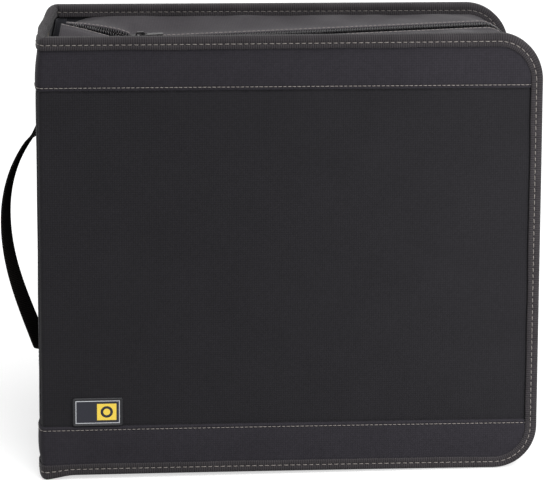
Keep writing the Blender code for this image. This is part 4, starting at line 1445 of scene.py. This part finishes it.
@dataclass
class ZipHalf:
    """One half of the zip with the gusset that joins it to its cover."""

    side: Side
    seed: int
    start: float
    lift: float
    bend: float
    slack: float
    lift_to: float = 60.0
    pull: float = 0.0
    station: float = 2.0
    pitch: float = 1.7
    hem_gap: float = 8.6
    hem_column: int = 18
    thread_column: int = 2

    def line(self, distance: Array, start: float) -> tuple[tuple[Array, Array, Array, Array], Array, Array]:
        """The zip's line at distances from its start.

        The line sags evenly less along the top towards the corner, keeps one
        sag down the side, spreads apart as tanh where the zip is open, a
        little more just behind the slider, and its free end stands up by the
        lift.

        Args:
            distance: distances along the line.
            start: x where the line starts on the top.

        Returns:
            The rim's stations, the spread and the sag there.
        """
        x, z, nx, nz = rim(distance, start, ZIP_INSET)
        top = nz <= -0.999999
        spread = 0.0 * x
        for reach, wide, length in ((ZIP_OPEN_TO, ZIP_SPREAD, ZIP_SPREAD_LENGTH), (62.0, 0.9, 6.0)):
            spread = spread + np.where(top & (x < reach), wide * np.tanh((reach - x) / length), 0.0)
        straight = SAG_START + (SAG_CORNER - SAG_START) * np.minimum(x, EDGE) / EDGE
        turn = smooth(np.arctan2(-nx, -nz) / (np.pi / 2))
        sag = np.where(nz >= 0, SAG_SIDE, straight + (SAG_SIDE - straight) * turn)
        rise = np.clip((self.lift_to - x) / (self.lift_to - self.start), 0, 1)
        rise = np.where(top, self.lift * rise**self.bend, 0.0)
        return (x, z, nx, nz), spread, sag - rise

    def stations(self, start: float) -> Array:
        """Distances of the strips' stations along a line from its start."""
        length = rim_length(start, ZIP_INSET)
        return np.linspace(0, length, math.ceil(length / self.station))

    def gusset(self) -> Patch:
        """The cloth strip between the cover and the zip, with its soft folds.

        Across the strip the inset goes smoothly from the binding to the zip's
        sag, and waves are added that are strongest in the middle, as
        4 t (1 - t). Near the start the cloth hangs slack and is drawn towards
        the spine. The hem is folded double and topstitched beside the coil.

        Returns:
            The hem's stitches.
        """
        distance = self.stations(self.start)
        line, spread, sag = self.line(distance, self.start)
        share = np.concatenate([np.linspace(0, 0.86, 17), [0.9, 0.93, 0.955, 0.975, 0.99, 1.0]])[None]
        seam = (HALF - self.hem_gap - spread)[:, None]
        depth = FLANGE_FACE + (seam - FLANGE_FACE) * share
        bulge = np.clip(share / 0.9, 0, 1)
        swell = 4 * bulge * (1 - bulge)
        s, past, on_top = distance[:, None], line[0][:, None] - self.start, line[3][:, None] < 0
        slack = self.slack * (1 - smooth(past / 24)) * (1 - smooth(share / 0.8)) * on_top
        # Long slanting waves, and a shorter uneven ripple over them.
        wave = 0.9 * np.sin(2 * np.pi * s / 71 + 1.1 * share)
        wave = wave + 0.5 * np.sin(2 * np.pi * s / 43 - 2.3 * share + self.seed)
        fold = 0.5 * ripple(s + 18 * share, self.seed, [23.0, 31.0])
        inset = 7.4 + (1.4 + sag[:, None]) * smooth(share * 1.25) + swell * (wave + fold + 0.5) + slack
        hem = 0.35 / (1 + np.exp(-(share - 0.87) / 0.008))
        outer = rim_place(self.side, line, depth, inset - hem)
        inner = rim_place(self.side, line, depth, inset - hem + (0.5 + 2 * hem))
        pull = self.pull * (1 - share) * (1 - smooth(past / 30)) * on_top
        outer[..., 0] -= pull
        inner[..., 0] -= pull
        uv = np.stack(np.broadcast_arrays(s, depth), -1)
        name = f"{self.side.label}_gusset"
        piece = slab(outer, inner, uv).piece(f"{name}_cloth", Wardrobe.GUSSET, self.side.body, [name])
        cross = np.linalg.norm(np.diff(outer, axis=1), axis=2)
        steps = np.linalg.norm(np.diff(outer, axis=0), axis=2)
        area = float((cross[:-1] * steps[:, :-1]).sum()) * MM * MM
        wide, far = float(cross.sum(axis=1).max()) * MM, float(steps.sum(axis=0).max()) * MM
        lining, area = f"{self.side.label}_lining", min(area, wide * far)
        path = outer[:, self.hem_column]
        return HEM_STITCH.row(path, unit(path - inner[:, self.hem_column]), self.seed + 5)

    def tape(self) -> Patch:
        """The woven tape that carries the coil.

        Returns:
            The row of thread that holds the coil on it.
        """
        distance = self.stations(ZIP_START)
        line, spread, sag = self.line(distance, ZIP_START)
        reach = np.array([1.5, 2.6, 3.9, 5.2, 7.0, 9.0, 12.5])[None]
        depth = HALF - reach - spread[:, None]
        inset = SEAM_INSET + sag[:, None] + 0.5 + 0 * reach
        outer = rim_place(self.side, line, depth, inset)
        inner = rim_place(self.side, line, depth, inset + 0.5)
        uv = np.stack(np.broadcast_arrays(distance[:, None], reach), -1)
        node = f"{self.side.label}_zip_tape"
        slab(outer, inner, uv).piece(f"{node}_twill", Wardrobe.TAPE, self.side.body, [node])
        path = outer[:, self.thread_column]
        return COIL_STITCH.row(path, unit(path - inner[:, self.thread_column]), self.seed + 61)

    def coil(self) -> None:
        """The coil: one rounded bar across the chain for each turn.

        A turn is 1.7 mm from the next, and the other half's turns stand
        halfway between. Each bar runs from the coil's back to just past the
        middle of the chain and has the height of the coil.
        """
        first = self.pitch * (1.0 if self.side is Side.FRONT else 1.5)
        marks = np.arange(first, rim_length(ZIP_START, ZIP_INSET) - self.pitch, self.pitch)
        line, spread, sag = self.line(marks, ZIP_START)
        reach = np.array([3.3, 3.0, 1.1, -0.7, -1.1])
        thick = np.array([0.45, 0.95, 1.0, 0.95, 0.5])
        turn = np.arange(6) * np.pi / 3
        depth = HALF - reach[None] - spread[:, None]
        inset = np.broadcast_to((SEAM_INSET + sag - 1.0)[:, None], depth.shape)
        centre = rim_place(self.side, line, depth, inset)
        x, z, nx, nz = line
        along = np.stack([-nz, 0 * nx, nx], -1)[:, None, None]
        inward = np.stack([nx, 0 * nx, nz], -1)[:, None, None]
        ring = along * (np.cos(turn) * 0.4)[:, None] + inward * np.sin(turn)[:, None]
        rings = centre[:, :, None] + ring * thick[None, :, None, None]
        node = f"{self.side.label}_zip_coil"
        patch = many_tubes(rings, np.zeros((*rings.shape[:3], 2)))
        patch.piece(f"{node}_turns", Wardrobe.TEETH, self.side.body, [node])

    def build(self) -> None:
        """Build the gusset, tape, coil and their stitches."""
        hem = self.gusset()
        rows = self.tape()
        self.coil()
        hem.piece(f"{self.side.label}_hem_stitches", Wardrobe.ZIP_THREAD, self.side.body)
        rows.piece(f"{self.side.label}_coil_stitches", Wardrobe.ZIP_THREAD, self.side.body)


@dataclass
class Hardware:
    """Slider, pull tab and stops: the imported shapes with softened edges."""

    bevel: float = 0.28
    stop_bevel: float = 0.4

    def soften(self, node: str, body: str, bevel: float) -> None:
        """A copy of a node with its sharp edges rounded.

        Args:
            node: node to copy and replace.
            body: body that it rides on.
            bevel: width of the rounding in millimetres.
        """
        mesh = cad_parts[node].data.copy()
        work = bmesh.new()
        work.from_mesh(mesh)
        bmesh.ops.remove_doubles(work, verts=work.verts, dist=0.00001)
        bmesh.ops.dissolve_limit(work, angle_limit=math.radians(2), verts=work.verts, edges=work.edges)
        work.to_mesh(mesh)
        work.free()
        mesh.materials.clear()
        mesh.materials.append(wardrobe.get(Wardrobe.ENAMEL))
        piece = linked(f"{node}_cast", mesh)
        rounding = piece.modifiers.new("rounded edges", "BEVEL")
        rounding.width = bevel * MM
        rounding.segments = 3
        rounding.limit_method = "ANGLE"
        rounding.angle_limit = math.radians(30)
        rounding.harden_normals = True
        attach(piece, body)
        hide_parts(node)
        log.info("%s: softened copy, rides on %s", node, body)

    def build(self) -> None:
        """Build the slider, its tab and the stops."""
        for node in ("zip_slider", "pull_tab"):
            self.soften(node, node, self.bevel)
        stops = (("front_zip_stop", Side.FRONT), ("rear_zip_stop", Side.REAR), ("zip_end_stop", Side.REAR))
        for node, side in stops:
            self.soften(node, side.body, self.stop_bevel)


@dataclass
class Handle:
    """The webbing strap on the spine, sewn down at both ends."""

    width: float = 25.0
    thick: float = 2.0
    out: float = 24.4
    top: float = 227.0
    foot: float = 76.5
    peak: float = 165.96
    tab: float = 20.0
    upper_lean: float = math.radians(42)
    lower_lean: float = math.radians(20)
    lower_handles: tuple[float, float] = (34.0, 32.0)
    upper_handles: tuple[float, float] = (22.0, 24.0)
    stitch_margin: float = 2.5
    twist: float = math.radians(13)
    station: float = 1.5
    stitch: Stitch = Stitch(length=2.3, width=0.55, pitch=3.0)

    def curve(self) -> Array:
        """The strap's inner line: a tab, two cubic arches and a tab.

        Each arch is a cubic through its end points whose handles leave the
        spine at the arch's lean and reach the peak upright.

        Returns:
            x and z of the line at every station.
        """
        seat = float(spine_curve(np.array(self.width / 2 / HALF), np.array(PANEL_FACE))[0]) - 0.3
        peak = self.thick - self.out

        def arch(start: float, lean: float, leave: float, arrive: float) -> Array:
            """One cubic arch from the spine to the peak.

            Args:
                start: height where it leaves the spine.
                lean: angle from the spine's face at which it leaves.
                leave: length of the cubic's first handle.
                arrive: length of its second handle.

            Returns:
                x and z of forty points.
            """
            up = math.copysign(1.0, self.peak - start)
            xs = np.array([seat, seat - leave * math.sin(lean), peak, peak])
            zs = np.array([start, start + up * leave * math.cos(lean), self.peak - up * arrive, self.peak])
            t = np.linspace(0, 1, 40)[:, None]
            weights = np.concatenate([(1 - t) ** 3, 3 * t * (1 - t) ** 2, 3 * t**2 * (1 - t), t**3], axis=1)
            return np.stack([weights @ xs, weights @ zs], -1)

        rising = arch(self.foot, self.lower_lean, *self.lower_handles)
        falling = arch(self.top, self.upper_lean, *self.upper_handles)[::-1]
        ends = np.array([[seat, self.foot - self.tab]]), np.array([[seat, self.top + self.tab]])
        line = np.concatenate([ends[0], rising, falling[1:], ends[1]])
        steps = run_length(*line.T)
        return read_at(np.linspace(0, steps[-1], math.ceil(steps[-1] / self.station)), steps, line)

    def build(self) -> None:
        """Build the strap and the box-and-cross stitches of its tabs.

        The section is a flat oblong: across it, with y from -1 to 1, the faces
        follow sqrt(1 - |y|^8), so that the woven edges are full and round.
        """
        line = self.curve()
        ahead = unit(np.gradient(line, axis=0))
        outward = np.stack([-ahead[:, 1], ahead[:, 0]], -1)
        y = -np.cos(np.linspace(0, np.pi, 15))
        middle = self.thick / 2
        body = middle * (1 - np.abs(y) ** 8) ** 0.5
        ridge = 1 + 0.12 * (np.abs(y) > 0.8)
        side = np.concatenate([middle + body * ridge * 0.94, middle - (body * 0.94)[::-1][1:-1]])
        across = np.concatenate([y, y[::-1][1:-1]]) * self.width / 2
        length = np.arange(len(line)) * self.station
        share = np.clip((length - self.tab) / (length[-1] - 2 * self.tab), 0, 1)
        twist = self.twist * (1 + 0.4 * (1 - share) ** 2)
        twist = (twist * smooth(share / 0.02) * smooth((1 - share) / 0.07))[:, None]
        off = (side[None] - middle) * np.cos(twist) - across[None] * np.sin(twist) + middle
        y = across[None] * np.cos(twist) + (side[None] - middle) * np.sin(twist)
        x = line[:, 0:1] + outward[:, 0:1] * off
        z = line[:, 1:2] + outward[:, 1:2] * off
        rings = np.stack([x, y, z], -1)
        uv = np.stack(np.broadcast_arrays(length[:, None], across[None]), -1)
        tube(rings, uv).piece("handle_strap", Wardrobe.WEBBING, "spine", ["handle"])
        outer = line[0, 0] - self.thick * 0.97
        rows = []
        for low, seed in ((self.foot - self.tab + 2.0, 71), (self.top + 3.0, 72)):
            high, half = low + self.tab - 2 * self.stitch_margin, self.width / 2 - self.stitch_margin
            box = [(-half, low), (half, low), (half, high), (-half, high), (-half, low), (half, high)]
            for course in (box, [(-half, high), (half, low)]):
                flat = np.array([(outer, *corner) for corner in course])
                steps = run_length(*flat[:, 1:].T)
                path = read_at(np.arange(0, steps[-1], 0.5), steps, flat)
                rows.append(self.stitch.row(path, np.tile([-1.0, 0.0, 0.0], (len(path), 1)), seed))
        joined(rows).piece("handle_stitches", Wardrobe.DARK_THREAD, "spine")


@dataclass
class Label:
    """The moulded patch above the bottom seam, with a generic design."""

    left: float = 18.5
    foot: float = 35.1
    width: float = 33.2
    height: float = 20.0
    face: float = 0.7
    back: float = 1.5
    radius: float = 1.6
    dish: float = 0.35
    rim_width: float = 1.5
    frame_inset: float = 2.25
    frame_rise: float = 0.12

    def build(self) -> None:
        """Build the patch as one surface.

        Its depth steps down by the dish inside a rim whose section is half an
        ellipse, and the frame of the printed field stands a little proud. The
        corners are drawn in to circles.
        """
        u = graded(0, self.width, [0, self.width], 0.16, 0.8, 2.4)
        v = graded(0, self.height, [0, self.height], 0.16, 0.8, 2.4)
        gx, gz = np.meshgrid(u, v)
        edge = np.minimum(np.minimum(gx, self.width - gx), np.minimum(gz, self.height - gz))
        half_rim = self.rim_width / 2
        rim_form = np.sqrt(np.clip(1 - ((edge - half_rim) / half_rim) ** 2, 0, 1))
        depth = self.face + self.dish - 0.45 * np.where(edge < self.rim_width, rim_form, 0.0)
        depth = depth - self.frame_rise * np.exp(-(((edge - self.frame_inset) / 0.3) ** 2))
        depth = np.where(edge < half_rim, self.face + 0.6 - 0.7 * rim_form, depth)
        corner = np.minimum(gx, self.width - gx), np.minimum(gz, self.height - gz)
        inside = np.stack([np.maximum(self.radius - c, 0) for c in corner])
        scale = np.where(inside.min(axis=0) > 0, np.max(inside, axis=0) / np.maximum(np.hypot(*inside), 1e-6), 1.0)
        shift = inside * (1 - scale)
        gx = gx + np.sign(self.width / 2 - gx) * shift[0]
        gz = gz + np.sign(self.height / 2 - gz) * shift[1]
        outer = np.stack([self.left + gx, -(HALF - depth), self.foot + gz], -1)
        inner = np.stack([self.left + gx, np.full_like(gx, -(HALF - self.back)), self.foot + gz], -1)
        print_finish = PrintedPatch("label_rubber_moulded", self.width, self.height)
        patch = slab(outer, inner, np.stack([gx, gz], -1))
        patch.piece("label_patch_moulded", print_finish, "front_cover", ["label_patch"])


@dataclass
class Sleeves:
    """The bound disc sleeves: felt leaves with clear pockets on the outer ones."""

    count: int = 38
    pitch: float = 2.0
    thick: float = 1.3
    width: float = 284.0
    corner: float = 8.0
    jitter: float = 1.4
    weld: float = 12.0
    notch: tuple[float, float] = (14.0, 9.0)
    film_gap: float = 0.05
    film_thick: float = 0.2
    seed: int = 900

    def outline(self, left: Array, right: Array, low: Array, high: Array) -> Array:
        """Rounded outlines: straight at the spine, round at the free corners.

        Args:
            left: left edge of each leaf.
            right: right edge.
            low: lower edge.
            high: upper edge.

        Returns:
            x and z, leaves x points x 2.
        """
        turn = np.linspace(0, np.pi / 2, 7)
        r = self.corner
        lower_x = right[:, None] - r + r * np.sin(turn)
        lower_z = low[:, None] + r - r * np.cos(turn)
        upper_z = high[:, None] - r + r * np.sin(turn)
        upper_x = right[:, None] - r + r * np.cos(turn)
        xs = np.concatenate([left[:, None], lower_x, upper_x, left[:, None]], 1)
        zs = np.concatenate([low[:, None], lower_z, upper_z, high[:, None]], 1)
        return np.stack([xs, zs], -1)

    def plates(self, flat: Array, near: Array, far: Array) -> Patch:
        """Flat plates from outlines between two depths in y.

        Args:
            flat: x and z of the outlines, plates x points x 2.
            near: y of each plate's first face.
            far: y of its second face.

        Returns:
            All plates as one patch.
        """
        sides = [np.broadcast_to(y[:, None], flat.shape[:2]) for y in (near, far)]
        rings = np.stack([np.stack([flat[..., 0], y, flat[..., 1]], -1) for y in sides], axis=1)
        return many_tubes(rings, rings[..., [0, 2]])

    def build(self) -> None:
        """Build the leaves and the films of their pockets, and dress the strip."""
        low_corner, high_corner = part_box("page_block")
        left = low_corner.x / MM + MIDDLE_X
        right, low, high = high_corner.x / MM + MIDDLE_X, low_corner.z / MM, high_corner.z / MM
        random = np.random.default_rng(self.seed)
        one = np.ones(self.count)
        jitter = random.uniform(0, self.jitter, (3, self.count))
        flat = self.outline(left * one, right - jitter[0], low + jitter[1], high - jitter[2])
        start = -((self.count - 1) * self.pitch + 1.4) / 2 + np.arange(self.count) * self.pitch
        free, half_weld = right - 4, 1.5
        leaves = self.plates(flat, start, start + self.thick)
        leaves.piece("disc_sleeve_leaves", Wardrobe.FELT, "spine", ["page_block"], sharp=30, soft=False)
        films = []
        middle_x, middle_z = (left + self.weld + free) / 2, (low + high) / 2
        for sign, base in ((-1, start[0]), (1, start[-1] + self.thick)):
            for x0, x1 in ((left + self.weld, middle_x - half_weld), (middle_x + half_weld, free)):
                for z0, z1 in ((low + 4, middle_z - 2), (middle_z + 2, high - 6)):
                    t = np.linspace(0, np.pi, 13)
                    centre = (x0 + x1) / 2
                    wide, deep = self.notch
                    notch = np.stack([centre - wide * np.cos(t[::-1]), z1 - deep * np.sin(t)], -1)
                    notch = notch[notch[:, 0].argsort()[::-1]]
                    shape = np.concatenate([[(x0, z0), (x1, z0), (x1, z1)], notch, [(x0, z1)]])
                    near = np.array([base + sign * self.film_gap])
                    far = np.array([base + sign * (self.film_gap + self.film_thick)])
                    films.append(self.plates(shape[None], near, far))
        joined(films).piece("disc_pocket_films", Wardrobe.FILM, "spine", sharp=30, soft=False)
        dress_node("page_binding_strip", Wardrobe.LINING)


SQUARE = ((-1, -1), (1, -1), (1, 1), (-1, 1))


@dataclass
class Studio:
    """Pale floor, soft lamps and the camera."""

    place: tuple[float, float, float] = (-0.1781, -1.5223, 0.6048)
    pitch: float = math.radians(16.61)
    yaw: float = math.radians(6.83)
    roll: float = math.radians(1.00)
    lens: float = 155.57
    ambient: float = 0.5
    sun: float = 2.6
    strip: float = 0.65
    sun_direction: tuple[float, float, float] = (-0.25, 0.62, -0.95)
    strip_place: tuple[float, float, float] = (0.248, -0.23, 0.15)
    strip_direction: tuple[float, float, float] = (-0.11, 0.18, 0.0)
    floor_reach: float = 20.0
    floor_level: float = -0.0034
    floor_glow: float = 0.62

    def camera(self) -> None:
        """The camera at the photograph's angle.

        It looks along (sin yaw cos pitch, cos yaw cos pitch, -sin pitch) and
        leans by the roll.
        """
        sin_yaw, cos_yaw, level = math.sin(self.yaw), math.cos(self.yaw), math.cos(self.pitch)
        ahead = Vector((sin_yaw * level, cos_yaw * level, -math.sin(self.pitch)))
        right = Vector((cos_yaw, -sin_yaw, 0.0))
        up = right.cross(ahead)
        lean_right = right * math.cos(self.roll) + up * math.sin(self.roll)
        lean_up = up * math.cos(self.roll) - right * math.sin(self.roll)
        turn = Matrix((lean_right, lean_up, -ahead)).transposed().to_4x4()
        data = bpy.data.cameras.new("camera")
        data.lens, data.sensor_width = self.lens, 36.0
        data.clip_start, data.clip_end = 0.05, 100.0
        camera = linked("camera", data)
        camera.matrix_world = Matrix.Translation(self.place) @ turn
        bpy.context.scene.camera = camera

    def floor(self) -> None:
        """A white painted floor that shows white and keeps a soft shadow."""
        mesh = bpy.data.meshes.new("floor")
        corners = [(sx * self.floor_reach, sy * self.floor_reach, self.floor_level) for sx, sy in SQUARE]
        mesh.from_pydata(corners, [], [(0, 1, 2, 3)])
        material = bpy.data.materials.new("floor_white_paint")
        material.use_nodes = True
        tree = material.node_tree
        tree.nodes.clear()
        level = add_node(tree, "ShaderNodeMath", (seen_by_camera(tree), self.floor_glow), operation="MULTIPLY")[0]
        glow = add_node(tree, "ShaderNodeEmission", (linear("ffffff"), level))[0]
        paint = add_node(tree, "ShaderNodeBsdfDiffuse", (linear("b9b9b9"), 0.6))[0]
        both = add_node(tree, "ShaderNodeAddShader", (paint, glow))[0]
        add_node(tree, "ShaderNodeOutputMaterial", (both,))
        mesh.materials.append(material)
        linked("floor", mesh)

    def light(self) -> None:
        """A broad soft lamp from above, a strip lamp at the right, and sky light."""
        world = bpy.data.worlds.new("studio")
        bpy.context.scene.world = world
        world.use_nodes = True
        tree = world.node_tree
        tree.nodes.clear()
        level = add_node(tree, "ShaderNodeMapRange", (seen_by_camera(tree), 0.0, 1.0, self.ambient, 1.0))[0]
        sky = add_node(tree, "ShaderNodeBackground", (linear("ffffff"), level))[0]
        add_node(tree, "ShaderNodeOutputWorld", (sky,))
        data = bpy.data.lights.new("key_lamp", "SUN")
        data.energy, data.angle = self.sun, math.radians(50.0)
        self.hang("key_lamp", data, (0.0, 0.0, 1.0), Vector(self.sun_direction))
        data = bpy.data.lights.new("strip_lamp", "AREA")
        data.shape, data.size, data.size_y, data.energy = "RECTANGLE", 0.1, 0.6, self.strip
        self.hang("strip_lamp", data, self.strip_place, Vector(self.strip_direction))

    def hang(self, name: str, data: bpy.types.Light, place: tuple[float, float, float], direction: Vector) -> None:
        """Place a lamp.

        Args:
            name: name of the lamp.
            data: its light.
            place: where it hangs.
            direction: where it shines, with its long side upright.
        """
        lamp = linked(name, data)
        lamp.rotation_mode = "QUATERNION"
        lamp.rotation_quaternion = direction.to_track_quat("-Z", "Y")
        lamp.location = place

    def build(self) -> None:
        """Set up the floor, lamps, camera and view."""
        bpy.context.scene.view_settings.view_transform = "Standard"
        self.camera()
        self.floor()
        self.light()


def main() -> None:
    """Build the studio and every sub-assembly of the case in order."""
    logging.basicConfig(level=logging.INFO, format="%(name)s: %(message)s")
    parts: list[Any] = [
        Studio(),
        Cover(Side.FRONT, seed=100),
        Cover(Side.REAR, seed=200),
        Spine(),
        ZipHalf(Side.FRONT, seed=300, start=13.0, lift=17.0, bend=0.75, slack=0.0, pull=6.0),
        ZipHalf(Side.REAR, seed=400, start=14.0, lift=9.5, bend=0.5, slack=5.0, lift_to=62.0),
        Hardware(),
        Handle(),
        Label(),
        Sleeves(),
    ]
    for part in parts:
        log.info("building %s", type(part).__name__)
        part.build()


if __name__ == "__main__":
    main()
